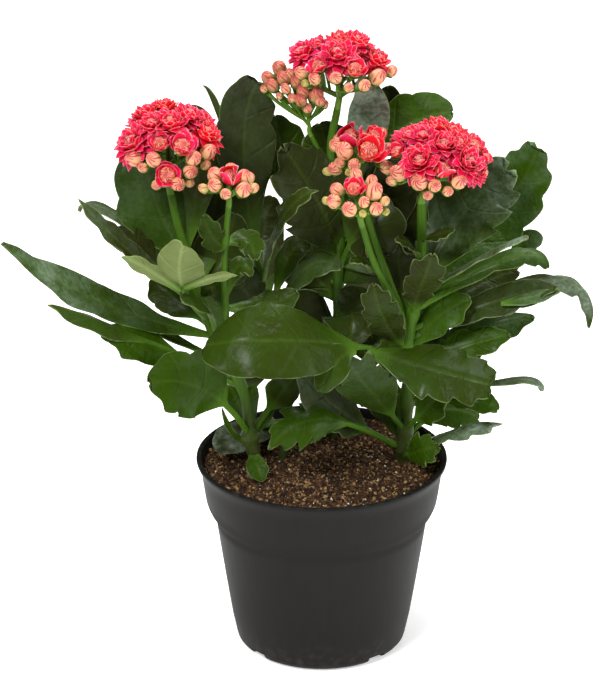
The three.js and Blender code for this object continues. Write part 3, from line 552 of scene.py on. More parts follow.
GRAINS = {
    # piece: (grain, shades, pieces in a square metre, smallest and largest scale, tilt,
    # how far from the middle of the pot)
    "soil_crumbs": (lump("crumb", (1.0, 0.8, 0.7), 0.3, 3), [
        (0.0, (0.007, 0.004, 0.003)), (0.4, (0.024, 0.012, 0.006)), (0.7, (0.085, 0.040, 0.016)),
        (1.0, (0.48, 0.30, 0.13)),
    ], 900000, 0.7, 2.9, 3.1, 55.6),
    "soil_fibres": (fibre("splinter"), [
        (0.0, (0.09, 0.035, 0.013)), (0.6, (0.32, 0.15, 0.045)), (1.0, (0.60, 0.38, 0.15)),
    ], 120000, 0.4, 1.3, 0.4, 54.6),
    "soil_perlite": (lump("bead", (1.0, 0.9, 0.8), 0.16, 8), [
        (0.0, (0.42, 0.33, 0.20)), (1.0, (0.82, 0.76, 0.60)),
    ], 42000, 0.4, 1.6, 3.1, 55.8),
}
for number, (name, row) in enumerate(GRAINS.items()):
    grain_piece, stops, density, least, most, lean, reach = row
    grains = strewing.make(
        soil, name, grain=grain_piece, material=grain_finish(name, stops), density=density,
        smallest=least, largest=most, tilt=lean, reach=reach * 0.001, seed=11 + number)
    drop(grain_piece)
    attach(grains, "root")
    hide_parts("soil")

# ---- Stems ----
# Fleshy green stems, rooted in the soil, and the flower stalks that branch from them. They
# taper upwards, swell where a leaf joins, and are greyer and scarred near the soil.
STEM_STEPS = 90
STEM_SLIMMER = 0.95
NODE_SWELL = 0.22
NODE_REACH = 2.4
STEM_AXES = {
    # axis: (points in mm, radius at the foot, radius at the top)
    "left": ([(-31, -12, 66), (-31, -12, 94), (-34, -13, 111), (-36, -14, 131), (-45, -16, 155),
              (-56, -14, 179), (-62, -10, 199), (-67, -8, 217), (-70, -6, 231)], 3.3, 1.9),
    "small_left": ([(-42, -15, 150), (-45, -19, 177), (-45, -22, 207), (-43, -22, 231)], 1.8, 1.4),
    "right": ([(39.5, 2, 66), (39.5, 2, 94), (41, 0, 125), (41, -2, 141), (40, -4, 160),
               (44, -4, 178), (46, -4, 197), (46, -4, 226)], 3.3, 2.3),
    "front": ([(40, -4, 156), (36, -8, 174), (28, -14, 192), (23, -18, 204), (18, -23, 222)],
              2.0, 1.5),
    "middle": ([(41, -4, 162), (30, -6, 192), (22, -2, 215), (17, 1, 238)], 1.9, 1.4),
    "back": ([(5, 29, 66), (5, 29, 95), (8, 26, 166), (7, 22, 218), (4, 20, 245), (7, 20, 264)],
             3.0, 1.8),
    "upper_left": ([(5, 21, 228), (0, 21, 240), (-5, 22, 250)], 1.5, 1.2),
    "centre": ([(-19, 2, 66), (-19, 2, 94), (-15, 6, 106), (-18, 10, 131), (-25, 14, 160),
                (-30, 17, 185), (-34, 19, 202)], 2.2, 1.6),
}


def smooth_path(points, count):
    """A centripetal curve through the points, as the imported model's stems follow."""
    p = np.array(points, float)
    p = np.vstack([2 * p[0] - p[1], p, 2 * p[-1] - p[-2]])
    spans = len(p) - 3
    result = []
    for u in np.linspace(0, spans, count):
        k = min(int(u), spans - 1)
        a, b, c, d = p[k:k + 4]
        gaps = [np.linalg.norm(q - r) ** 0.5 for q, r in ((b, a), (c, b), (d, c))]
        leave = ((b - a) / gaps[0] - (c - a) / (gaps[0] + gaps[1]) + (c - b) / gaps[1]) * gaps[1]
        reach = ((c - b) / gaps[1] - (d - b) / (gaps[1] + gaps[2]) + (d - c) / gaps[2]) * gaps[1]
        x = u - k
        result.append(
            b + leave * x + (3 * (c - b) - 2 * leave - reach) * x ** 2
            + (2 * (b - c) + leave + reach) * x ** 3)
    return np.array(result)


def mark(mesh, key, values, kind="FLOAT", domain="POINT"):
    """Stores a value under a name for each point, or each edge, of a mesh."""
    field = "vector" if kind == "FLOAT_VECTOR" else "value"
    number = {"INT": np.int32, "BOOLEAN": bool}.get(kind, np.float32)
    layer = mesh.attributes.new(key, kind, domain)
    layer.data.foreach_set(field, np.array(values, number).reshape(-1))


def strand_piece(name, strands):
    """A helper object of loose edges: each strand is (points in mm, radii in mm)."""
    points = []
    edges = []
    for path, _ in strands:
        first = len(points)
        points += [tuple(q * 0.001 for q in place) for place in path]
        edges += [(k, k + 1) for k in range(first, len(points) - 1)]
    mesh = bpy.data.meshes.new(name)
    mesh.from_pydata(points, edges, [])
    mark(mesh, "thickness", np.concatenate([radii for _, radii in strands]) * 0.001)
    return placed(name, mesh)


tubing = Recipe("round_stems", {"Material": ("Material", None), "Sides": ("Int", 16)})
tube_path = tubing.node("GeometryNodeMeshToCurve", values=[tubing.given("Geometry")])
round_profile = tubing.node(
    "GeometryNodeCurvePrimitiveCircle", {"mode": "RADIUS"},
    {"Resolution": tubing.given("Sides"), "Radius": 1.0})
tubing.finish(tubing.node("GeometryNodeCurveToMesh", values={
    "Curve": tube_path, "Profile Curve": round_profile, "Scale": tubing.read("thickness"),
    "Fill Caps": True,
}))

stem_skin = Finish("stem_skin", {"Specular IOR Level": 0.12})
stem_lines = stem_skin.noise(1.0, 3.0, stem_skin.stretched((1500, 1500, 70)))
stem_cloud = stem_skin.noise(70.0, 3.0)
stem_scars = stem_skin.noise(1.0, 2.0, stem_skin.stretched((500, 500, 900))).between(0.62, 0.74)
above_soil = stem_skin.axis(stem_skin.place, "Z")
fresh_stem = stem_skin.mix(stem_lines, (0.026, 0.078, 0.003), (0.066, 0.140, 0.008))
old_stem = stem_skin.mix(stem_lines, (0.020, 0.036, 0.005), (0.055, 0.068, 0.016))
stem_age = (above_soil + stem_cloud * 0.03).between(0.165, 0.115)
stem_base = stem_skin.mix(stem_age, fresh_stem, old_stem)
scarred = stem_skin.mix(stem_scars * stem_age * 0.6, stem_base, (0.16, 0.10, 0.05))
stem_skin.wear(
    base_color=scarred, roughness=stem_cloud * 0.2 + 0.34,
    normal=stem_skin.bump(stem_lines, 0.0003),
)

# ---- Leaves ----
# Thick waxy leaves with rounded lobes, in pairs up the stems. Each has a rib that is sunk on
# the upper side and stands out below, side veins to its lobes, and a thin pale rim that is
# partly painted highlight. Painted grey sheen stands in for their reflection of the studio.
EDGE_HALF = 0.38
RIB_HALF = 0.72
PETIOLE_HALF = 1.4
LOBE_LEAN = 0.5
LOBE_ROUND = 0.62
LOBE_UNEVEN = 0.08
FIRST_LOBE = 0.15  # lobes are counted from this far behind the foot of the blade
LAST_LOBE = 0.8
OUTLINE_SKEW = 0.92
OUTLINE_ROUND = 0.66
MARGIN_WAVE = 0.05
MARGIN_RIPPLE = 0.045
GROOVE = (0.32, 0.9)  # depth and half width
KEEL = (0.75, 1.1)
ACROSS = [0, 0.05, 0.12, 0.24, 0.38, 0.53, 0.68, 0.81, 0.91, 0.97]
STALK_ROWS = 6
ROWS_A_LOBE = 9
NEAR_THE_TIP = [0.985, 0.996]
STALKLESS_FOOT = 0.12  # share of a sessile leaf's length that its narrow foot takes
THINNEST = 0.02
LEAVES = {
    # axis: rows of (height on the stem or point where it starts, middle of the rib, tip, way
    # that the upper side faces, width, lobes a side, depth of the clefts, pointedness of the
    # tip, cup, stalk, fresh green, painted grey sheen)
    "left": [
        (164, (-102, -26, 185), (-146, -32, 217), (0.3, -0.4, 0.9), 22, 4, 0.07, 0.95, 0.08, 0, 0.6, 1),
        (143, (-97, -38, 178), (-124, -46, 192), (0.3, 0, 0.9), 18, 2, 0.2, 0.7, -0.3, 0.3, 0.5, 0.15),
        (112, (-54, -40, 147), (-79, -50, 155), (-0.12, -0.9, 0.42), 34, 3, 0.12, 0.5, 0.12, 0.3, 0.7, 0),
        (104, (-31, -20, 99), (-28, -25, 94), (0, -0.6, 0.8), 11, 2, 0.12, 0.46, 0.1, 0, 0.7, 0),
        (112, (-22, -4, 127), (-12, 10, 134), (0.3, -0.8, 0.45), 17, 2, 0.1, 0.46, 0.1, 0.35, 0.35, 0.1),
        (178, (-90, -28, 212), (-111, -24, 235), (0.5, -0.45, 0.75), 12, 4, 0.2, 0.8, 0.35, 0, 0.3, 0.5),
        (172, (-64, -34, 196), (-63, -46, 221), (0.1, 0.9, -0.4), 23, 2, 0.1, 0.3, 0.2, 0.45, 0.6, 0),
        (198, (-77, 10, 218), (-84, 16, 251), (0.3, -0.88, 0.35), 38, 3, 0.06, 0.3, 0.12, 0, 0.65, 0.5),
        (204, (-58, 22, 238), (-63, 32, 261), (0.3, -0.9, 0.2), 22, 2, 0.05, 0.5, 0.2, 0, 0.2, 0),
        (190, (-100, 18, 213), (-115, 26, 211), (0.1, 0, 1), 11, 3, 0.1, 0.46, 0.1, 0, 0.35, 1.2),
        (165, (-54, -30, 185), (-64, -42, 193), (0.2, -0.3, 0.9), 14, 2, 0.15, 0.46, -0.2, 0.2, 0.5, 0.1),
        (168, (-67, 2, 174), (-80, 12, 182), (0.4, -0.8, 0.5), 22, 3, 0.12, 0.46, 0.1, 0.2, 0.4, 0.1),
        (150, (-73, -2, 159), (-81, 6, 162), (0.3, -0.6, 0.7), 6, 2, 0.12, 0.46, 0.1, 0.2, 0.35, 0.1),
        (160, (-64, 60, 167), (-76, 90, 175), (0.3, -0.3, 0.9), 34, 2, 0.1, 0.46, 0.12, 0, 0.25, 0),
        (120, (-40, 45, 120), (-52, 80, 116), (0.1, -0.3, 0.95), 30, 2, 0.1, 0.46, 0.12, 0.2, 0.25, 0),
        (183, (-48, 3, 194), (-41, 5, 217), (0, -0.92, 0.35), 30, 2, 0.12, 0.46, 0.1, 0, 0.3, 0),
        (186, (-52, 18, 209), (-49, 20, 226), (0.1, -0.9, 0.4), 24, 2, 0.1, 0.46, 0.1, 0, 0.12, 0),
        (108, (-40, -14, 129), (-44, -18, 140), (0, -0.95, 0.2), 8, 2, 0.05, 0.46, 0.2, 0, 0.7, 0),
        (110, (-34, -14, 129), (-31, -12, 137), (0, -0.95, 0.2), 8, 2, 0.05, 0.46, 0.2, 0, 0.6, 0),
        ((-65, -36, 195), (-79, -38, 206), (-91, -40, 213), (0, 0.9, -0.4), 8, 2, 0.3, 0.8, 0.1, 0, 0.6, 0),
        ((-63, -36, 196), (-50, -38, 202), (-39, -40, 204), (0, 0.9, -0.4), 5, 2, 0.3, 0.9, 0.1, 0, 0.6, 0),
        ((-37, -13, 109), (-43, -18, 117), (-47, -24, 131), (0, -1, 0.2), 3, 2, 0.1, 0.5, 0.2, 0, 0.8, 0),
        ((-32, -11, 112), (-26, -8, 118), (-22, -2, 125), (0, -1, 0.2), 3, 2, 0.1, 0.5, 0.2, 0, 0.8, 0),
        (138, (-81, -34, 167), (-98, -44, 173), (0.2, -0.6, 0.8), 21, 2, 0.06, 0.3, -0.1, 0.25, 0.85, 0),
        (180, (-81, -10, 201), (-95, 0, 212), (0.4, -0.6, 0.6), 20, 3, 0.2, 0.5, 0.1, 0, 0.1, 0),
        ((-16, 34, 99), (-37, 10, 102), (-51, 0, 99), (0, -0.4, 0.9), 20, 2, 0.05, 0.4, 0.1, 0, 0.1, 1.6),
    ],
    "small_left": [
        (213, (-49, -24, 215), (-54, -25, 227), (-0.2, -0.8, 0.5), 13, 3, 0.3, 0.46, 0.1, 0, 0.5, 0),
        (213, (-35, -24, 215), (-31, -28, 208), (0.2, -0.7, 0.6), 14, 3, 0.3, 0.46, 0.1, 0, 0.5, 0),
        (180, (-26, -18, 180), (-12, -15, 186), (0.1, -0.55, 0.8), 16, 3, 0.15, 0.46, 0.1, 0, 0.5, 0),
        (185, (-39, -22, 201), (-33, -26, 199), (0.1, -0.7, 0.7), 10, 3, 0.3, 0.46, 0.1, 0, 0.5, 0),
        (178, (-50, -20, 190), (-55, -22, 187), (-0.1, -0.7, 0.7), 11, 3, 0.3, 0.46, 0.1, 0, 0.45, 0),
    ],
    "centre": [
        (190, (-37, 26, 244), (-30, 30, 274), (0.15, -0.95, 0.2), 29, 3, 0.1, 0.26, 0.12, 0, 0.2, 0.3),
        (185, (-46, 43, 246), (-57, 52, 265), (-0.6, -0.7, 0.3), 4, 2, 0.05, 0.9, 0.1, 0, 0.2, 0),
        (178, (-18, -12, 221), (-3, -18, 237), (-0.6, -0.5, 0.55), 12, 4, 0.38, 0.7, 0.15, 0, 0.35, 0),
        (160, (-16, 18, 190), (-6, 22, 194), (-0.1, -0.5, 0.85), 14, 2, 0.15, 0.46, 0.1, 0.2, 0.45, 0),
        (155, (-10, 0, 190), (9, -8, 196), (-0.1, -0.45, 0.9), 16, 3, 0.15, 0.46, -0.2, 0.2, 0.5, 0.4),
        (107, (-29, 22, 102), (-41, 27, 95), (0, -0.2, 1), 16, 2, 0.08, 0.46, 0.05, 0.25, 0.3, 0.8),
        (165, (-29, 62, 180), (-24, 80, 199), (0.3, -0.9, 0.3), 22, 2, 0.1, 0.46, 0.12, 0, 0.15, 0),
        (158, (-37, 10, 177), (-41, 10, 191), (0.1, -0.85, 0.5), 22, 2, 0.1, 0.46, 0.1, 0, 0.25, 0),
    ],
    "right": [
        (150, (-14, -50, 176), (-54, -44, 171), (0.02, -0.72, 0.7), 38, 3, 0.08, 0.38, -0.1, 0.2, 0.45, 0),
        ((20, -24, 161), (51, -34, 155), (77, -42, 151), (0, -0.6, 0.8), 30, 4, 0.2, 0.2, -0.1, 0, 0.45, 0),
        (149, (32, -20, 155), (24, -26, 160), (0.05, -0.7, 0.7), 17, 2, 0.1, 0.46, 0.1, 0, 0.5, 0),
        (140, (49, 14, 145), (63, 20, 150), (-0.1, -0.6, 0.8), 24, 2, 0.12, 0.46, 0.1, 0, 0.3, 0),
        (152, (29, -16, 173), (24, -18, 190), (-0.15, -0.95, 0.2), 19, 4, 0.28, 0.46, 0.1, 0.1, 0.28, 0),
        (108, (24, -22, 138), (12, -30, 157), (-0.3, -0.8, 0.45), 28, 4, 0.32, 0.46, -0.1, 0.2, 0.5, 0.3),
        (97, (2, -26, 126), (-24, -32, 115), (0, -0.75, 0.65), 22, 4, 0.4, 0.8, -0.3, 0.35, 0.75, 0),
        (99, (11, -12, 122), (-10, -18, 147), (0.5, -0.7, 0.5), 28, 3, 0.14, 0.46, 0.05, 0.3, 0.25, 0.4),
        (98, (59, -24, 118), (83, -26, 124), (0.1, -0.2, 0.97), 16, 4, 0.36, 0.8, -0.2, 0.15, 0.5, 1.8),
        (94, (45, -20, 107), (54, -28, 113), (-0.2, -0.85, 0.4), 17, 3, 0.3, 0.46, 0.05, 0.2, 0.75, 0),
        (108, (49, -14, 126), (57, -18, 134), (-0.2, -0.7, 0.6), 20, 2, 0.22, 0.46, 0.1, 0.25, 0.6, 0),
        (104, (58, 10, 114), (76, 20, 106), (0.1, -0.75, 0.65), 21, 3, 0.22, 0.46, 0.1, 0.25, 0.7, 0),
        (122, (91, 6, 133), (105, 6, 127), (0.1, -0.1, 1), 8, 2, 0.2, 0.46, -0.3, 0.25, 0.3, 1.1),
        (125, (67, -10, 130), (83, -12, 125), (0.1, -0.6, 0.75), 14, 2, 0.2, 0.46, 0.1, 0.25, 1, 0),
        (140, (63, -2, 151), (88, -2, 159), (0.1, -0.7, 0.7), 18, 3, 0.22, 0.46, 0.1, 0.2, 0.8, 0.1),
        (152, (55, -4, 169), (69, -4, 178), (-0.2, -0.8, 0.5), 18, 2, 0.18, 0.46, 0.1, 0, 1, 0.1),
        (146, (71, 14, 153), (101, 18, 160), (0.1, -0.5, 0.85), 19, 3, 0.2, 0.46, -0.2, 0.2, 0.8, 0.5),
        (158, (82, 0, 175), (109, -6, 184), (0.15, -0.6, 0.8), 17, 3, 0.2, 0.46, 0.05, 0, 0.35, 0.3),
        (162, (108, 12, 181), (127, 8, 159), (0.25, -0.4, 0.9), 13, 4, 0.25, 0.7, -0.25, 0, 0.3, 1.5),
        (183, (67, 12, 215), (86, 16, 235), (-0.35, -0.8, 0.5), 41, 4, 0.3, 0.4, 0.12, 0, 0.5, 1),
        (176, (84, 30, 206), (102, 34, 240), (-0.25, -0.85, 0.45), 30, 4, 0.2, 0.25, 0.15, 0, 0.9, 0.6),
        (172, (86, 0, 197), (105, -4, 194), (0.1, -0.6, 0.8), 11, 3, 0.24, 0.46, -0.3, 0, 0.7, 0.5),
        (180, (77, -16, 206), (94, -22, 216), (0.1, -0.15, 0.98), 9, 3, 0.16, 0.46, -0.2, 0, 0.35, 1.4),
        (160, (71, 26, 171), (94, 34, 178), (0, -0.7, 0.7), 24, 3, 0.18, 0.46, 0.1, 0, 0.3, 0.1),
        (170, (46, -20, 192), (50, -26, 208), (0.1, -0.95, 0.25), 19, 3, 0.3, 0.46, 0.1, 0.1, 0.25, 0),
        (165, (63, 60, 163), (79, 88, 173), (-0.3, -0.4, 0.9), 36, 2, 0.1, 0.46, 0.12, 0, 0.2, 0),
        (130, (59, 50, 124), (75, 82, 116), (-0.1, -0.3, 0.95), 32, 2, 0.1, 0.46, 0.12, 0.2, 0.3, 0),
        (195, (57, 44, 203), (65, 60, 220), (-0.2, -0.5, 0.8), 32, 3, 0.12, 0.46, 0.12, 0, 0.1, 0),
        (100, (30, 8, 122), (19, 4, 131), (0.2, -0.85, 0.5), 22, 2, 0.1, 0.46, 0.1, 0, 0.4, 0),
        (155, (27, 8, 149), (13, 4, 151), (0.1, -0.7, 0.7), 25, 2, 0.12, 0.46, 0.1, 0, 0.35, 0),
        ((15, -40, 166), (7, -44, 164), (-1, -48, 150), (0, -0.9, 0.5), 17, 2, 0.1, 0.4, -0.1, 0, 0.5, 0),
        ((23, -8, 195), (18, -14, 201), (13, -18, 202), (0, -0.4, 0.9), 7, 3, 0.3, 0.46, 0.1, 0, 0.5, 0),
        ((45, -6, 201), (40, -14, 209), (34, -18, 213), (0, -0.5, 0.85), 9, 3, 0.3, 0.46, 0.1, 0, 0.3, 0),
        ((47, -6, 209), (53, -12, 213), (60, -16, 217), (0, -0.5, 0.85), 9, 3, 0.3, 0.46, 0.1, 0, 0.3, 0),
        (168, (36, 4, 191), (37, 4, 202), (-0.1, -0.85, 0.5), 20, 2, 0.12, 0.46, 0.1, 0, 0.15, 0),
        ((91, 26, 191), (98, 28, 195), (105, 28, 195), (0, -0.9, 0.5), 12, 2, 0.1, 0.4, 0.1, 0, 0.6, 0.5),
        ((84, -4, 176), (97, -6, 179), (111, -6, 183), (0.1, -0.6, 0.8), 7, 2, 0.2, 0.5, 0.1, 0, 0.8, 0.8),
    ],
    "back": [
        (165, (-6, 34, 179), (-18, 30, 193), (0.2, -0.85, 0.5), 28, 2, 0.12, 0.46, 0.1, 0, 0.2, 0),
        (150, (14, 14, 164), (13, 4, 152), (0, -0.9, 0.4), 30, 2, 0.12, 0.46, 0.1, 0.2, 0.3, 0),
        (140, (-6, 20, 158), (-17, 14, 155), (0.2, -0.8, 0.6), 30, 2, 0.12, 0.46, 0.1, 0, 0.2, 0),
        (175, (23, 24, 190), (37, 22, 206), (-0.2, -0.85, 0.5), 34, 2, 0.12, 0.46, 0.1, 0, 0.15, 0),
        (215, (21, 24, 253), (17, 13, 281), (0.05, -0.95, 0.25), 19, 2, 0.03, 0.4, 0.15, 0, 0.3, 2.2),
        (222, (27, 36, 248), (31, 42, 268), (-0.3, -0.9, 0.3), 20, 2, 0.06, 0.46, 0.1, 0, 0.1, 0),
        (232, (38, 30, 252), (61, 34, 258), (-0.15, -0.85, 0.5), 27, 3, 0.12, 0.46, 0.12, 0.15, 0.85, 0.3),
        (190, (-1, 14, 217), (-17, 15, 245), (0.3, -0.85, 0.4), 42, 4, 0.26, 0.46, 0.1, 0, 0.15, 0.1),
        (195, (-14, 36, 228), (-22, 40, 254), (0.3, -0.85, 0.4), 27, 3, 0.1, 0.46, 0.1, 0, 0.45, 0),
        (205, (4, 34, 232), (-1, 40, 250), (0, -0.9, 0.4), 28, 3, 0.1, 0.46, 0.1, 0, 0.45, 0),
        (180, (20, 8, 211), (29, 2, 198), (-0.2, -0.8, 0.5), 34, 3, 0.12, 0.46, 0.1, 0.2, 0.2, 0),
        (170, (4, 70, 191), (2, 94, 208), (0, -0.4, 0.9), 38, 2, 0.1, 0.46, 0.12, 0, 0.15, 0),
        (150, (24, 66, 150), (35, 94, 155), (-0.2, -0.3, 0.95), 34, 2, 0.1, 0.46, 0.12, 0, 0.2, 0),
        (130, (-5, 66, 128), (-15, 94, 128), (0.2, -0.3, 0.95), 32, 2, 0.1, 0.46, 0.12, 0, 0.25, 0),
        (185, (30, 22, 199), (43, 18, 230), (-0.2, -0.85, 0.45), 34, 3, 0.1, 0.46, 0.1, 0, 0.12, 0),
        (200, (30, 22, 218), (28, 20, 237), (-0.1, -0.85, 0.45), 30, 2, 0.1, 0.46, 0.1, 0, 0.12, 0),
        (195, (19, 26, 219), (21, 24, 238), (-0.1, -0.85, 0.45), 26, 2, 0.1, 0.46, 0.1, 0, 0.12, 0),
        (212, (33, 30, 226), (36, 34, 239), (-0.1, -0.85, 0.45), 22, 2, 0.1, 0.46, 0.1, 0, 0.12, 0),
    ],
}
STEM_PIECES = {
    # node: its axes
    "leafy_stem_left": ["left", "small_left"],
    "leafy_stem_right": ["right", "front", "middle"],
    "leafy_stem_back": ["back", "upper_left"],
    "leafy_stem_centre": ["centre"],
}


def seeded_draw(seed):
    """Draws between -1 and 1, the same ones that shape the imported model's leaves."""
    state = seed * 7919 + 17
    while True:
        state = state * 16807 % 2147483647
        yield state / 2147483647 * 2 - 1


def unit(v):
    return v / np.linalg.norm(v, axis=-1, keepdims=True)


def blade_half(s, pointed):
    """Half of the blade's width against its widest, at the share s of its length."""
    skewed = np.clip(np.sin(math.pi * s ** OUTLINE_SKEW), 0, 1)
    return skewed ** (OUTLINE_ROUND + (pointed - OUTLINE_ROUND) * s)


def leaf_body(row, start, seed):
    """Points in mm, faces and surface values of one leaf, a closed thin blade on its stalk."""
    _, mid, tip, face, width, lobes, cleft_depth, pointed, cup, stalk, fresh, bloom = row
    mid, tip, face = (np.array(v, float) for v in (mid, tip, face))
    face = unit(face)
    control = 2 * mid - 0.5 * (start + tip)
    foot = stalk or STALKLESS_FOOT
    steps = 2 * lobes
    draw = seeded_draw(seed)
    marks = np.arange(1, steps + 1)
    draws = np.array([[next(draw) for _ in range(3)] for _ in marks])

    # rows along the rib, closer together at the foot of the blade and near the tip
    s = 1 - (1 - np.linspace(0, 1, ROWS_A_LOBE * lobes + 8)) ** 1.25
    s = np.concatenate([np.linspace(-1, 0, STALK_ROWS + 1)[:-1], s[:-1], NEAR_THE_TIP])
    t = np.where(s < 0, foot * (1 + s), foot + (1 - foot) * s)

    # half of the width at each row: stalk, wedge up to the first lobe, then lobes and clefts
    i = np.maximum(s, 0) * (steps + LAST_LOBE) - FIRST_LOBE
    lobe = (1 - np.cos(math.pi * i)) / 2
    arches = np.abs(np.sin(math.pi * i / 2)) ** LOBE_ROUND
    cleft = cleft_depth * (1 - arches) * np.where(i > steps - 0.6, 0.6, 1)
    first_s = (1 + FIRST_LOBE) / (steps + LAST_LOBE)
    first = 0.5 * width * blade_half(first_s, pointed)
    start_t = foot if stalk else 0.0
    rise = np.clip((t - start_t) / (foot + (1 - foot) * first_s - start_t), 0, 1)
    wedge = PETIOLE_HALF + (first - PETIOLE_HALF) * rise ** 1.25
    outline = blade_half(np.clip(s, 1e-6, 1), pointed)
    half = np.where(i < 1, wedge, 0.5 * width * outline * (1 - cleft))
    half[-1] *= 0.55
    blade = np.clip(rise * 1.2 - 0.1, 0, 1)
    lean = LOBE_LEAN * cleft_depth * width * np.where(i < 1, rise ** 2, lobe)
    left = half * (1 + LOBE_UNEVEN * np.interp(i, marks, draws[:, 0]) * blade)
    right = half * (1 + LOBE_UNEVEN * np.interp(i, marks, draws[:, 1]) * blade)
    wave = MARGIN_WAVE * width * np.interp(i, marks, draws[:, 2]) * blade
    ripple = MARGIN_RIPPLE * width * (0.5 - lobe) * blade

    # from here on t, blade and what goes with them stand in a column, one row each
    t, blade, wave, ripple, lean, left, right = (
        v[:, None] for v in (t, blade, wave, ripple, lean, left, right))
    rib = (1 - t) ** 2 * start + 2 * t * (1 - t) * control + t ** 2 * tip
    along = unit(2 * (1 - t) * (control - start) + 2 * t * (tip - control))
    normal = unit(face - along * (along @ face)[:, None])
    side = np.cross(along, normal)

    # once round the section: the upper side from margin to margin, then the lower side
    reach = [-v for v in ACROSS[:0:-1]] + ACROSS
    upper = [-1.0, *reach, 1.0]
    lower = reach[::-1]
    v = np.array(upper + lower)
    on_top = np.array([1.0] * len(upper) + [-1.0] * len(lower))
    on_top[0] = on_top[len(upper) - 1] = 0.0
    share = np.abs(v)[None, :]
    width_here = np.where(v < 0, left, right)
    from_rib = share * width_here
    lift = cup * width_here * share ** 1.5
    lift = lift + np.where(v < 0, 1, -1) * wave * share ** 2 + ripple * share ** 3
    thick = (EDGE_HALF + (RIB_HALF - EDGE_HALF) * (1 - share)) * np.sqrt(1 - share ** 8)
    thick = thick * (1 + 0.5 * (1 - blade))
    thick = np.maximum(thick, THINNEST) * np.where(s > 0.99, 0.5, 1)[:, None]
    groove = GROOVE[0] * np.exp(-(from_rib / GROOVE[1]) ** 2) * blade
    keel = KEEL[0] * np.exp(-(from_rib / KEEL[1]) ** 2) * (1 - t * 0.6)
    depth = np.where(on_top > 0, thick - groove, -thick - keel)
    depth = np.where(on_top == 0, 0, depth)
    points = (
        rib[:, None] + side[:, None] * (v * width_here)[:, :, None]
        + normal[:, None] * (lift + depth)[:, :, None]
        + along[:, None] * (lean * share ** 1.4)[:, :, None]
    )
    rows, around = points.shape[:2]
    flat = np.vstack([start, points.reshape(-1, 3), rib[-1] + along[-1] * 0.3])

    # what the finish reads at each point
    values = {
        "edge": (1 - share) * width_here, "mid": from_rib,
        "vein": (i[:, None] - 1 + 0.9 * (1 - share)) / 2,
        "under": (on_top < 0) * 1.0 + (on_top == 0) * 0.5,
        "petiole": 1 - blade, "fresh": fresh, "bloom": bloom * (0.15 + 0.85 * t ** 1.3),
    }
    for key, value in values.items():
        value = np.broadcast_to(value, (rows, around))
        values[key] = np.concatenate([value[0, :1], value.reshape(-1), value[-1, :1]])
    return flat, shell_faces(rows, around), values


leaf_skin = Finish("leaf_skin", {"Specular IOR Level": 0.06, "Coat Roughness": 0.22})
fresh = leaf_skin.attribute("fresh")
under = leaf_skin.attribute("under").between(0.55, 0.8)
petiole = leaf_skin.attribute("petiole")
edge = leaf_skin.attribute("edge")
vein_phase = leaf_skin.attribute("vein")
mottle = leaf_skin.noise(55.0, 4.0)
cells = leaf_skin.noise(1300.0, 2.0)
blotch = leaf_skin.noise(130.0, 3.0)
midrib = leaf_skin.attribute("mid").between(1.3, 0.25)
nearest = (vein_phase.math("FRACT") - 0.5).math("ABSOLUTE")
side_vein = nearest.between(0.43, 0.5) * (1 - petiole)
tone = fresh + (mottle - 0.5) * 0.6 + (blotch - 0.5) * 0.3
upper_skin = leaf_skin.ramp(tone, [
    (0.0, (0.020, 0.022, 0.006)), (0.3, (0.020, 0.031, 0.003)), (0.6, (0.020, 0.046, 0.001)),
    (1.0, (0.027, 0.068, 0.001)),
])
veined = leaf_skin.mix(side_vein * 0.04 + midrib * 0.11, upper_skin, (0.10, 0.16, 0.02))
# painted sheen: pale grey patches, strongest towards the tip, stand in for the studio's reflection on the
# waxy leaves
painted_sheen_mask = (mottle * 1.3 + blotch * 0.4 - 0.45).between(0.1, 0.6) * leaf_skin.attribute("bloom") ** 1.5
streaked = leaf_skin.noise(520.0, 4.0).between(0.3, 0.7) * 0.5 + 0.5
with_painted_sheen = leaf_skin.mix(painted_sheen_mask * streaked * 0.7, veined, (0.21, 0.275, 0.20))
under_skin = leaf_skin.mix(mottle, (0.095, 0.130, 0.035), (0.16, 0.20, 0.07))
ribbed = leaf_skin.mix(side_vein * 0.25 + midrib * 0.3, under_skin, (0.26, 0.33, 0.13))
both_sides = leaf_skin.mix(under, with_painted_sheen, ribbed)
# a paler margin that is partly the leaf's own colour and partly a painted highlight where light catches the
# edges
rim = edge.between(0.55, 0.1) * (1 - petiole)
patchy = blotch.between(0.35, 0.65) * 0.4 + 0.12
rimmed = leaf_skin.mix(rim * patchy, both_sides, (0.24, 0.30, 0.12))
stalked = leaf_skin.mix(petiole * 0.8, rimmed, (0.065, 0.15, 0.012))
leaf_skin.wear(
    base_color=stalked,
    roughness=mottle * 0.18 + blotch * 0.1 + under * 0.14 + 0.27,
    coat_weight=(1 - under) * (mottle + blotch * 0.5).between(0.6, 0.95) * 0.14,
    normal=leaf_skin.bump(
        1 - side_vein * 0.8 + cells * 0.1, 0.0003, leaf_skin.bump(blotch, 0.002)),
)

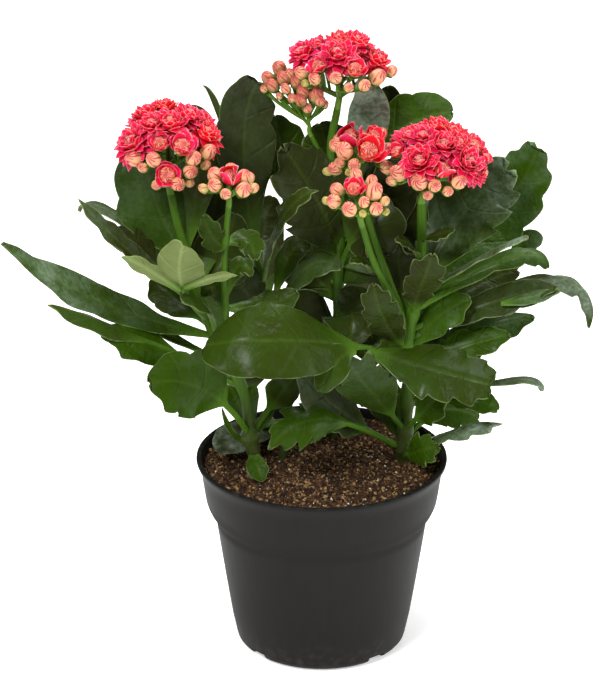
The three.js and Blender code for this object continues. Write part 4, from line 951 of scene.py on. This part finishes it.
for node, axes in STEM_PIECES.items():
    strands = []
    points = []
    faces = []
    values = {}
    for axis in axes:
        path_points, foot_radius, top_radius = STEM_AXES[axis]
        path = smooth_path(path_points, STEM_STEPS)
        radii = np.linspace(foot_radius, top_radius, STEM_STEPS)
        leaves = LEAVES.get(axis, [])
        for number, row in enumerate(leaves):
            if isinstance(row[0], tuple):
                start = np.array(row[0], float)
            else:
                start = np.array([np.interp(row[0], path[:, 2], path[:, k]) for k in range(3)])
                swelling = np.exp(-((path[:, 2] - row[0] - 1) / NODE_REACH) ** 2)
                radii = np.maximum(radii, radii * (1 + NODE_SWELL * swelling))
            body, body_faces, body_values = leaf_body(row, start, number + len(leaves))
            first = sum(len(p) for p in points)
            points.append(body)
            faces += [tuple(k + first for k in corners) for corners in body_faces]
            for key, numbers in body_values.items():
                values.setdefault(key, []).append(numbers)
        strands.append((path, radii * STEM_SLIMMER))
    bare = strand_piece(node + "_path", strands)
    stem = tubing.make(bare, node.replace("leafy_", ""), material=stem_skin.material, sides=20)
    drop(bare)
    pieces = [stem]
    if points:
        leaves_piece = add_piece(
            node.replace("leafy_stem", "leaves"), np.vstack(points), faces, leaf_skin.material)
        for key, numbers in values.items():
            mark(leaves_piece.data, key, np.concatenate(numbers))
        pieces.append(leaves_piece)
    for piece in pieces:
        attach(piece, "root")
        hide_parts(node)

# ---- Flowers ----
# Double flowers in domed heads: stars of thin pointed petals, hot pink with whitish rims, round
# a salmon rosette. Some are still cups of red petals round a tight peach ball.
PETAL_ROWS = 6
PETAL_HALF = 0.022  # half of its thickness at the foot, against its length
PETAL_FOOT = 0.07
GOLDEN_TURN = 2.399963
PETALS = {
    # petal: (width against length, cup across, curl of the tip in radians)
    "flat": (0.44, 0.16, -0.25),
    "cupped": (0.54, 0.30, 0.75),
    "broad": (0.74, 0.30, 0.75),
    "incurved": (0.80, 0.30, 1.70),
}
FLOWER_LAYERS = {
    # kind: layers of (petal, count, outer and inner tilt in radians, outer and inner length,
    # foot ring, height of the inmost one, layer number of the outer and of the inner petals)
    "0_open": [
        ("flat", 30, -0.35, 0.50, 0.54, 0.47, 0.05, 0.05, 0.0, 0.35),
        ("cupped", 24, 0.30, 0.90, 0.44, 0.33, 0.09, 0.08, 0.3, 0.6),
        ("incurved", 12, 0.55, 1.10, 0.32, 0.22, 0.08, 0.13, 0.7, 1.0),
    ],
    "1_open": [
        ("flat", 28, -0.50, 0.50, 0.55, 0.48, 0.05, 0.04, 0.0, 0.35),
        ("cupped", 25, 0.20, 0.95, 0.46, 0.32, 0.09, 0.07, 0.3, 0.6),
        ("incurved", 11, 0.60, 1.10, 0.34, 0.22, 0.08, 0.13, 0.7, 1.0),
    ],
    "2_cup": [("broad", 8, 0.40, 0.75, 0.60, 0.54, 0.05, 0.0, 0.0, 0.2)],
    "3_tulip": [("incurved", 6, 0.50, 0.80, 1.00, 0.90, 0.14, -0.15, 0.2, 0.5)],
}
LAYER_INPUTS = [
    "count", "outer_tilt", "inner_tilt", "outer_length", "inner_length", "foot_ring", "height",
    "outer_layer", "inner_layer",
]
FLOWER_GROUPS = {
    # group: (kinds of flower that it takes in turn, how far the foot is sunk, in widths)
    "open": ((0, 1), 0.12),
    "cup": ((2,), 0.24),
    "tulip": ((3,), 0.45),
}
FLOWER_GROWTH = 1.12  # petals reach a little past the widths in the table of heads
HEADS = {
    # head: stalk, hub where its branches part, ends of the branches, then its flowers as
    # (x, y, z, width) in mm: open ones, cups round a ball, closed balls and tulips; and buds
    "big_left": {
        "stalk": "left", "hub": (-71, -4, 243),
        "forks": [(-80, -6, 250), (-61, -4, 250), (-72, 8, 250), (-70, -13, 240)],
        "open": [
            (-87, -8, 257, 19), (-70, -6, 265, 18), (-54, -1, 258.5, 18.5), (-81, 9, 265, 16),
            (-73, 12, 267, 15), (-62, 3, 266, 16), (-78, -6, 265, 14), (-85, 15, 259, 15),
            (-70, 21, 261, 15), (-57, 14, 261, 16),
        ],
        "cup": [(-74, -15, 259, 12.5), (-64, -16, 258, 14.5), (-71, -19, 245, 14.5)],
        "tulip": [],
        "buds": [
            (-86, -13, 251, 7.8), (-77, -18, 252, 7), (-82, -16, 247.5, 5.2), (-59, -16, 252, 7.2),
            (-53, -9, 252.5, 7.4), (-54, -11, 247, 4.8), (-60.5, -17, 246, 7.2),
            (-66, -20, 241, 7.2), (-61, -15, 240, 4.6), (-76, -17, 239.5, 5),
            (-50, 9, 253, 6), (-92, 6, 252, 6), (-76, 27, 253, 6), (-60, 22, 252, 6),
        ],
    },
    "small_left": {
        "stalk": "small_left", "hub": (-43, -22, 236),
        "forks": [(-49, -23, 240), (-43, -26, 239), (-37, -23, 240), (-43, -17, 240)],
        "open": [], "cup": [], "tulip": [(-42, -27, 247.5, 9.4)],
        "buds": [
            (-49, -24, 247, 7), (-49, -29, 243.5, 6.4), (-54, -25, 240.5, 4.6),
            (-44, -32, 240.5, 5.6), (-36, -25, 246.5, 6.6), (-36, -29, 241.5, 7.4),
            (-31.5, -24, 240.5, 4.8), (-42, -15, 246, 6.4), (-50, -16, 243, 5.6),
            (-34, -15, 242, 5.6),
        ],
    },
    "top": {
        "stalk": "back", "hub": (8, 20, 270),
        "forks": [(-3, 18, 276), (7, 11, 276), (17, 19, 277), (9, 30, 276)],
        "open": [
            (-9, 22, 290.5, 16), (7, 14, 292, 18), (16, 26, 294, 17), (25, 23, 287, 15.5),
            (-2, 27, 292, 15), (8, 27, 295, 14), (16, 37, 288, 15), (1, 37, 288, 15),
        ],
        "cup": [(-2, 10, 288, 11.5), (15, 8, 287, 13)],
        "tulip": [],
        "buds": [
            (-9.5, 14, 283, 6.2), (-3.5, 7, 282.5, 6.4), (-8, 10, 279.5, 4), (25, 14, 281, 8),
            (6, 4, 284, 6), (12, 2, 280, 5), (32, 24, 281, 6), (19, 2, 281, 6), (2, 42, 281, 6),
            (20, 41, 281, 6),
        ],
    },
    "upper_left": {
        "stalk": "upper_left", "hub": (-6, 22, 255), "dusk": 1.0,
        "forks": [(-16, 23, 267), (-7, 19, 261)],
        "open": [], "cup": [], "tulip": [],
        "buds": [
            (-25, 23, 277.5, 6.2), (-23, 17, 276, 6), (-20, 25, 282, 7), (-18, 18, 279, 6.2),
            (-17, 14, 275.5, 4.8), (-15, 19, 281, 5), (-12, 17, 278, 6.6), (-20, 14, 272, 3.4),
            (-9, 14, 274, 6.6), (-14, 13, 271.5, 4.8), (-10, 12, 270.5, 6.2), (-3, 15, 272, 7.6),
            (-7, 13, 266.5, 5), (1, 16, 267.5, 4.2), (-12, 26, 277, 6), (-4, 22, 271, 6),
            (-20, 29, 276, 6), (-1, 13, 270, 5.4), (-27, 22, 273, 4),
        ],
    },
    "middle": {
        "stalk": "middle", "hub": (16, 2, 243),
        "forks": [(8, -2, 246), (16, 3, 249), (23, 1, 248)],
        "open": [], "cup": [(21, -9, 253.5, 16.5), (23.5, -1, 258, 11)],
        "tulip": [(13, -3, 258.5, 11)],
        "buds": [
            (6, -5, 254.5, 6.4), (10, -9, 253, 8.2), (8, -9, 247.5, 5.2), (14.5, -12, 247.5, 6.6),
            (12, -11, 243.5, 4), (6, -7, 244, 6.6), (2.5, -4, 241.5, 4.2), (28.5, -7, 246, 5.4),
            (18, 12, 252, 6), (27, 11, 254, 6), (8, 8, 252, 6), (29, 2, 250, 6),
        ],
    },
    "front": {
        "stalk": "front", "hub": (17, -24, 227),
        "forks": [(9, -27, 232), (17, -29, 232), (24, -28, 232)],
        "open": [], "cup": [(14, -31, 243, 11.5)], "tulip": [],
        "buds": [
            (6.5, -27, 240.5, 6.6), (22, -25, 243.5, 5.6), (23, -31, 241, 8.2),
            (5, -31, 236.5, 7), (1.5, -27, 235.5, 4), (18.5, -35, 237.5, 5.4),
            (28, -32, 237, 4.6), (12, -36, 234.5, 7.4), (24, -35, 234.5, 6.8),
            (18, -36, 232.5, 4), (28.5, -31, 231.5, 3.8), (15, -22, 246, 6),
        ],
    },
    "big_right": {
        "stalk": "right", "hub": (49, -4, 236),
        "forks": [(40, -5, 241), (50, -13, 239), (63, -6, 242), (53, 6, 243)],
        "open": [
            (44, -17, 251, 18), (66, -15, 250, 17.5), (55, -11, 256.5, 17), (53, 6, 259.5, 16),
            (60, 3, 258, 15), (40, 0, 257, 15), (46, -6, 259, 14.5), (62, -8, 256, 15),
            (46, 17, 254, 15), (60, 18, 253, 15), (37, 12, 252, 14), (70, 9, 251, 14),
            (70, -14, 245.5, 13),
        ],
        "cup": [(70, -3, 254, 12), (34, -6, 252, 10.5), (75, -6, 249, 8.5)],
        "tulip": [(55, -20, 248.5, 9.5)],
        "buds": [
            (44, -20, 242, 8.2), (51, -22, 241, 6.4), (62, -20, 242, 7.4), (35, -14, 244, 8.2),
            (30, -5, 243.5, 7), (32, -9, 238.5, 5), (48, -19, 235.5, 5.2), (57, -20, 237.5, 5.2),
            (73, -11, 243, 4.8), (75.5, 4, 245, 5.6), (50, 27, 247, 6), (68, 22, 247, 6),
        ],
    },
}
HEAD_LEAN = np.array([0, -0.35, 0.35])


def petal_shape(name, width, cup, curl):
    """A thin closed petal, one unit long, from its foot at the origin towards +X."""
    points = []
    across = []
    along = []
    x = z = 0.0
    for row in range(PETAL_ROWS + 1):
        share = row / PETAL_ROWS
        if row:
            slope = curl * (share - 0.5 / PETAL_ROWS)
            x += math.cos(slope) / PETAL_ROWS
            z += math.sin(slope) / PETAL_ROWS
        half = 0.5 * width * math.sin(math.pi * min(share, 0.995) ** 1.35) ** 0.85
        half += PETAL_FOOT * (1 - share)
        lift = cup * half
        thick = PETAL_HALF * (1 - 0.5 * share)
        points += [(x, -half, z + lift), (x, 0, z - thick), (x, half, z + lift), (x, 0, z + thick)]
        across += [1.0, 0.0, 1.0, 0.0]
        along += [share] * 4
    petal = add_piece(name, np.array(points) * 1000, tube_faces(PETAL_ROWS + 1, 4), None)
    mark(petal.data, "across", across)
    mark(petal.data, "along", along)
    on_rim = [across[a] == across[b] == 1.0 for a, b in petal.data.edge_keys]
    mark(petal.data, "sharp_edge", on_rim, "BOOLEAN", "EDGE")
    return petal


rosette = Recipe("ring_of_petals", {
    "Petal": ("Object", None), "Material": ("Material", None), "Count": ("Int", 12),
    "Outer tilt": ("Float", 0.0), "Inner tilt": ("Float", 1.0), "Outer length": ("Float", 0.5),
    "Inner length": ("Float", 0.3), "Foot ring": ("Float", 0.05), "Height": ("Float", 0.0),
    "Outer layer": ("Float", 0.0), "Inner layer": ("Float", 1.0), "Seed": ("Int", 1),
})
index = rosette.node("GeometryNodeInputIndex")
inward = index / (rosette.given("Count") - 1)
seed = rosette.given("Seed")


def by_layer(name):
    """A value that goes from that of the outermost petal to that of the inmost one."""
    outer = rosette.given("Outer " + name)
    return outer + (rosette.given("Inner " + name) - outer) * inward


turn = index * GOLDEN_TURN + rosette.random(-0.22, 0.22, seed)
petal_tilt = by_layer("tilt") + rosette.random(-0.10, 0.10, seed + 1)
length = by_layer("length") * rosette.random(0.9, 1.08, seed + 2)
foot = rosette.given("Foot ring") * (1 - inward * 0.6)
foot_place = rosette.node("ShaderNodeCombineXYZ", values=[
    turn.math("COSINE") * foot, turn.math("SINE") * foot, rosette.given("Height") * inward,
])
foot_points = rosette.node("GeometryNodePoints", values={
    "Count": rosette.given("Count"), "Position": foot_place,
})
petal_turn = rosette.node("ShaderNodeCombineXYZ", values=[0.0, 0 - petal_tilt, turn])
set_petals = rosette.node("GeometryNodeInstanceOnPoints", values={
    "Points": foot_points, "Instance": rosette.shape_of("Petal"), "Rotation": petal_turn,
    "Scale": length,
})
new_ring = rosette.store(set_petals, "layer", by_layer("layer"))
both = rosette.node("GeometryNodeJoinGeometry", values=[rosette.given("Geometry")])
rosette.tree.links.new(new_ring.socket, both.socket.node.inputs[0])
rosette.finish(both)

gathering = Recipe("flowers_of_a_head", {
    "Kinds": ("Collection", None), "Material": ("Material", None),
})
facing = gathering.node(
    "FunctionNodeAlignRotationToVector", {"axis": "Z"},
    {"Vector": gathering.read("facing", "FLOAT_VECTOR")})
spin = gathering.node("FunctionNodeAxisAngleToRotation", values={
    "Axis": (0, 0, 1), "Angle": gathering.read("spin"),
})
kinds = gathering.node("GeometryNodeCollectionInfo", values={
    "Collection": gathering.given("Kinds"), "Separate Children": True, "Reset Children": True,
})
gathering.finish(gathering.node("GeometryNodeInstanceOnPoints", values={
    "Points": gathering.given("Geometry"), "Instance": kinds, "Pick Instance": True,
    "Instance Index": gathering.read("kind", "INT"),
    "Rotation": gathering.node(
        "FunctionNodeRotateRotation", {"rotation_space": "LOCAL"}, [facing, spin]),
    "Scale": gathering.read("size"),
}))


def set_on(places, shapes, name, material):
    """A piece with one of the shapes, which are in a collection, on each of the places.
    A place is (point in mm, facing, size in mm, spin, kind, shade)."""
    points, facings, sizes, spins, kinds_here, shades = zip(*places)
    mesh = bpy.data.meshes.new("places")
    mesh.from_pydata([tuple(q * 0.001 for q in point) for point in points], [], [])
    mark(mesh, "facing", facings, "FLOAT_VECTOR")
    mark(mesh, "size", np.array(sizes) * 0.001)
    mark(mesh, "spin", spins)
    mark(mesh, "kind", kinds_here, "INT")
    mark(mesh, "shade", shades)
    helper = placed("places", mesh)
    piece = gathering.make(helper, name, kinds=shapes, material=material)
    drop(helper)
    return piece


def kept_shapes(name, shapes):
    """A collection of the shapes that the places of a head pick from by number."""
    collection = bpy.data.collections.new(name)
    bpy.context.scene.collection.children.link(collection)
    for shape in shapes:
        collection.objects.link(shape)
        bpy.context.collection.objects.unlink(shape)
    return collection


def drop_shapes(collection):
    """Takes such a collection out of the scene, with its shapes."""
    for shape in list(collection.objects):
        drop(shape)
    bpy.data.collections.remove(collection)


petal_skin = Finish("petal_skin", {
    "Specular IOR Level": 0.2, "Subsurface Weight": 0.4, "Subsurface Scale": 0.003,
})
petal_layer = petal_skin.attribute("layer")  # 0 for the outermost petals, 1 for the inmost
petal_shade = petal_skin.attribute("shade")
petal_across = petal_skin.attribute("across")
petal_along = petal_skin.attribute("along")
fine_lines = petal_skin.noise(900.0, 3.0)
hot = petal_skin.mix(petal_shade, (0.74, 0.006, 0.024), (0.74, 0.009, 0.090))
depth_of_petal = petal_skin.mix(petal_along.between(0.55, 0.0), hot, (0.56, 0.002, 0.010))
salmon = petal_skin.mix(petal_along, (0.78, 0.07, 0.05), (0.90, 0.33, 0.24))
warm = petal_skin.mix((petal_layer + fine_lines * 0.2).between(0.70, 1.0), depth_of_petal, salmon)
petal_rim = (petal_across * 0.75 + petal_along * 0.33 + fine_lines * 0.10).between(0.86, 1.04)
rimmed_petal = petal_skin.mix(petal_rim * 0.38, warm, (1.0, 0.60, 0.64))
petal_skin.wear(
    base_color=rimmed_petal, roughness=fine_lines * 0.2 + 0.38,
    normal=petal_skin.bump(fine_lines, 0.0002),
)

petal_pieces = {name: petal_shape("petal_" + name, *sizes) for name, sizes in PETALS.items()}
flowers = []
for kind, layers in FLOWER_LAYERS.items():
    flower = add_piece("no_petals_yet", np.zeros((0, 3)), [], None)
    for number, (petal, *numbers) in enumerate(layers):
        fuller = rosette.make(
            flower, "flower_" + kind, petal=petal_pieces[petal], material=petal_skin.material,
            seed=31 * number + 7 * int(kind[0]), **dict(zip(LAYER_INPUTS, numbers)))
        drop(flower)
        flower = fuller
    flowers.append(flower)
flower_kinds = kept_shapes("flower_kinds", flowers)
for petal in petal_pieces.values():
    drop(petal)

chance = np.random.default_rng(5)
for head, plan in HEADS.items():
    places = []
    for group, (kinds_in_turn, sunk) in FLOWER_GROUPS.items():
        for count, (x, y, z, width) in enumerate(plan[group]):
            centre = np.array((x, y, z), float)
            look = unit(unit(centre - np.array(plan["hub"])) + HEAD_LEAN)
            shade = chance.uniform(0, 1)
            spun = chance.uniform(0, 6.28)
            width = width * FLOWER_GROWTH
            kind = kinds_in_turn[count % len(kinds_in_turn)]
            places.append((centre - look * width * sunk, look, width, spun, kind, shade))
    if places:
        blooms = set_on(places, flower_kinds, "petals_" + head, petal_skin.material)
        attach(blooms, "root")
        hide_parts("blooms_" + head)
drop_shapes(flower_kinds)

# ---- Buds and branches of the heads ----
# Round buds with petals wound tight, salmon over a cream and green foot, dark red along the
# seams, where the red is partly painted shade between the petals. Each sits in a small green
# calyx on a juicy stalk that branches from the head's hub.
BUD_SIDES = 20
BUD_RINGS = 9
BUD_TWIST = 0.12
BUD_RELIEF = 0.10
SMALLEST_BUD = 3.8
RIPE_BUD = 7.0
CALYX_TEETH = 5
CALYX_SIDES = CALYX_TEETH * 4
CALYX_RINGS = [
    # (height, radius, how much of it is teeth), up the outside and down the inside
    (-0.64, 0.13, 0), (-0.55, 0.26, 0), (-0.44, 0.39, 0), (-0.30, 0.49, 0.5), (-0.12, 0.535, 1.0),
    (-0.24, 0.47, 0.6), (-0.50, 0.22, 0),
]
CALYX_LARGEST = 8.0
BRANCH_RADIUS = 1.25
PEDICEL_RADIUS = 0.75
RECEPTACLE_RADIUS = 1.15
TWIG_STEPS = 9
TWIG_BEND = 0.45
NECK_STEPS = 14
DUSKY_SLIMMER = 0.35
FORK_STEP = 0.12  # how much nearer to the hub each next stalk leaves its branch
FORK_NEAREST = 0.75
POINTED_SHARE = 0.4
BALL_SUNK = 0.05
CARRIED = {
    # group: (where its stalk ends below its middle, width of its calyx, width of the ball
    # inside it or 0), all in widths of the bud or flower
    "buds": (0.62, 0.98, 0),
    "cup": (0.42, 0.62, 0.56),
    "tulip": (0.42, 0.62, 0.72),
    "open": (0.42, 0.62, 0),
}


def bud_shape(name, petals, tall, rosy):
    """A closed bud, one unit wide, with its point at +Z. U counts petals round, V climbs.
    A rosy one shows row upon row of inner petals, as it does when the flower opens."""
    points = [(0, 0, -0.5)]
    climb = [0.0]  # how far up each point is, from 0 to 1
    for row in range(BUD_RINGS):
        up = (row + 0.6) / (BUD_RINGS + 0.1)
        polar = math.pi * up
        for k in range(BUD_SIDES):
            wound = (petals * (k / BUD_SIDES + BUD_TWIST * up)) % 1
            radius = 0.5 * math.sin(polar) ** 0.8 * (1 - BUD_RELIEF * (1 - wound) ** 1.5 * up)
            turn = 2 * math.pi * k / BUD_SIDES
            height = -0.5 * math.cos(polar) * (tall if up > 0.5 else 1)
            points.append((radius * math.cos(turn), radius * math.sin(turn), height))
            climb.append(up)
    points.append((0, 0, 0.5 * tall))
    climb.append(1.0)
    faces = shell_faces(BUD_RINGS, BUD_SIDES)
    uvs = []  # the faces of one meridian after another, so U is read off the face's number
    for number, corners in enumerate(faces):
        k = number // (BUD_RINGS + 1)
        for corner in corners:
            further = 0 < corner < len(points) - 1 and (corner - 1) % BUD_SIDES != k
            v = climb[corner]
            uvs.append((petals * ((k + further) / BUD_SIDES + BUD_TWIST * v), v))
    bud = add_piece(name, np.array(points) * 1000, faces, None)
    layer = bud.data.uv_layers.new(name="wound")
    layer.data.foreach_set("uv", np.array(uvs).reshape(-1))
    mark(bud.data, "rosy", [rosy] * len(points))
    return bud


def calyx_shape(name):
    """A small cup of pointed green teeth that clasps the foot of a bud one unit wide."""
    turns = np.linspace(0, 2 * math.pi, CALYX_SIDES, endpoint=False)
    between_teeth = 0.5 - 0.5 * np.cos(turns * CALYX_TEETH)
    points = []
    for height, radius, toothed in CALYX_RINGS:
        points += ring(radius, height - 0.24 * toothed * between_teeth, turns)
    return add_piece(name, np.array(points) * 1000, tube_faces(len(CALYX_RINGS), CALYX_SIDES), None)


bud_skin = Finish("bud_skin", {"Specular IOR Level": 0.45})
wound_uv = bud_skin.node("ShaderNodeUVMap", {"uv_map": "wound"})
wound_u = bud_skin.axis(wound_uv, "X")
wound_v = bud_skin.axis(wound_uv, "Y")
ripe = bud_skin.attribute("shade")
bud_cloud = bud_skin.noise(500.0, 3.0)
wound_round = wound_u + wound_v ** 5.0 * 0.8
outer_edge = wound_round.math("FRACT")
inner_edge = (wound_round + 0.5).math("FRACT")
outer_seam = outer_edge.between(0.22, 0.03) + outer_edge.between(0.94, 1.0)
inner_seam = inner_edge.between(0.24, 0.03) + inner_edge.between(0.93, 1.0)
seams_and_shadows = outer_seam * wound_v.between(0.28, 0.62)
seams_and_shadows = seams_and_shadows.math("MAXIMUM", inner_seam * wound_v.between(0.66, 0.80))
# painted shadow: on a rosy bud, a dark line just past the edge of each row of petals, where the next row
# shades it
for shift in (0.0, 0.5):
    from_middle = ((wound_u + shift).math("FRACT") * 2 - 1).math("ABSOLUTE") ** 2.0
    past_edge = ((wound_v + from_middle * 0.18) * 3.2 + shift + 0.1).math("FRACT")
    row_shadow = past_edge.between(0.26, 0.04) * wound_v.between(0.35, 0.6)
    seams_and_shadows = seams_and_shadows.math("MAXIMUM", row_shadow * bud_skin.attribute("rosy"))
seams_and_shadows = seams_and_shadows * (bud_skin.noise(260.0, 2.0).between(0.36, 0.54) * 0.55 + 0.45)
flush = wound_v + bud_cloud * 0.3 + ripe * 0.12 - 0.2
bud_body = bud_skin.ramp(flush, [
    (0.0, (0.24, 0.36, 0.05)), (0.28, (0.50, 0.46, 0.12)), (0.55, (0.72, 0.43, 0.20)),
    (0.8, (0.74, 0.33, 0.19)), (1.0, (0.72, 0.20, 0.14)),
])
young = bud_skin.mix(bud_cloud, (0.30, 0.36, 0.06), (0.52, 0.50, 0.12))
grown_bud = bud_skin.mix(ripe.between(0.0, 0.45), young, bud_body)
dusky = bud_skin.mix(wound_v.between(0.4, 0.85), (0.13, 0.15, 0.018), (0.42, 0.10, 0.06))
aged_bud = bud_skin.mix(ripe.between(1.2, 1.9) * (bud_cloud * 1.2 + 0.1), grown_bud, dusky)
flushed = bud_skin.mix(seams_and_shadows.between(0.0, 0.5) * 0.4, aged_bud, (0.80, 0.14, 0.12))
# along the seams: partly their own dark red, partly painted shade between the wound petals
seam_red_and_shade = bud_skin.mix(
    seams_and_shadows.between(0.15, 0.75) * ripe.between(0.1, 0.6) * 0.85, flushed, (0.36, 0.010, 0.018))
apex = wound_v.between(0.88, 1.0) * bud_cloud.between(0.35, 0.6)
pointed = bud_skin.mix(apex * 0.7, seam_red_and_shade, (0.42, 0.02, 0.02))
bud_skin.wear(
    base_color=pointed, roughness=bud_cloud * 0.2 + 0.36,
    normal=bud_skin.bump(1 - seams_and_shadows, 0.0003, bud_skin.bump(bud_cloud, 0.0003)),
)

branch_skin = Finish("branch_skin", {"Specular IOR Level": 0.25})
branch_cloud = branch_skin.noise(350.0, 3.0)
branch_shade = branch_skin.mix(branch_cloud, (0.045, 0.135, 0.006), (0.13, 0.24, 0.02))
branch_skin.wear(
    base_color=branch_shade, roughness=branch_cloud * 0.2 + 0.36,
    normal=branch_skin.bump(branch_cloud, 0.0003),
)

bud_kinds = kept_shapes("bud_kinds", [
    bud_shape("bud_0_round", 5, 1.1, 0.0), bud_shape("bud_1_pointed", 4, 1.4, 0.0),
    bud_shape("bud_2_unwinding", 6, 0.85, 1.0),
])
calyx_kinds = kept_shapes("calyx_kinds", [calyx_shape("calyx")])


def bent_twig(start, end, look, foot_radius, end_radius):
    """A stalk that leaves start and comes up to end along look, as (path, radii)."""
    a = np.linspace(0, 1, TWIG_STEPS)
    radii = foot_radius + (end_radius - foot_radius) * a ** 3
    a = a[:, None]
    control = end - look * np.linalg.norm(end - start) * TWIG_BEND
    path = (1 - a) ** 2 * start + 2 * a * (1 - a) * control + a ** 2 * end
    return path, radii


for head, plan in HEADS.items():
    dusk = plan.get("dusk", 0)
    hub = np.array(plan["hub"], float)
    stalk_points, _, stalk_radius = STEM_AXES[plan["stalk"]]
    stalk_path = smooth_path(stalk_points, STEM_STEPS)
    stalk_top = stalk_path[-1]
    stalk_way = unit(stalk_path[-1] - stalk_path[-2])
    neck = smooth_path([stalk_top - stalk_way * 2, stalk_top + stalk_way * 2.5, hub], NECK_STEPS)
    branch_radius = BRANCH_RADIUS * (1 - DUSKY_SLIMMER * dusk)
    neck_radii = np.linspace(stalk_radius * STEM_SLIMMER, branch_radius * 1.2, NECK_STEPS)
    twigs = [(neck, neck_radii)]
    forks = [np.array(fork, float) for fork in plan["forks"]]
    used = [0] * len(forks)
    for fork in forks:
        way = unit(fork - hub)
        twigs.append(bent_twig(hub, fork + way, way, branch_radius, branch_radius * 0.9))
    buds = []
    cups = []
    for group, (below, cup_share, ball_share) in CARRIED.items():
        for *centre, width in plan[group]:
            centre = np.array(centre, float)
            look = unit(unit(centre - hub) + HEAD_LEAN)
            nearest_fork = min(range(len(forks)), key=lambda k: np.linalg.norm(forks[k] - centre))
            share = min(FORK_STEP * used[nearest_fork], FORK_NEAREST)
            used[nearest_fork] += 1
            foot_at = forks[nearest_fork] * (1 - share) + hub * share
            twigs.append(bent_twig(
                foot_at, centre - look * width * below, look, PEDICEL_RADIUS, RECEPTACLE_RADIUS))
            spun = chance.uniform(0, 6.28)
            if group == "buds":
                ripeness = np.clip((width - SMALLEST_BUD) / (RIPE_BUD - SMALLEST_BUD), 0, 1) + dusk
                width = width * chance.uniform(0.92, 1.02)
                pointed_one = int(chance.uniform() < POINTED_SHARE)
                buds.append((centre, look, width, spun, pointed_one, ripeness))
                cups.append((centre, look, width * cup_share, spun, 0, ripeness))
                continue
            cups.append((centre, look, min(width * cup_share, CALYX_LARGEST), spun, 0, 1.0))
            if ball_share:
                ball = centre - look * width * BALL_SUNK
                buds.append((ball, look, width * ball_share, spun, 2, 1.0))
    bare = strand_piece("twigs", twigs)
    branches = tubing.make(bare, "branches_" + head, material=branch_skin.material, sides=10)
    drop(bare)
    bud_piece = set_on(buds, bud_kinds, "buds_" + head, bud_skin.material)
    calyces = set_on(cups, calyx_kinds, "calyces_" + head, branch_skin.material)
    for piece in (branches, bud_piece, calyces):
        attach(piece, "root")
        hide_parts("cyme_" + head)
drop_shapes(bud_kinds)
drop_shapes(calyx_kinds)
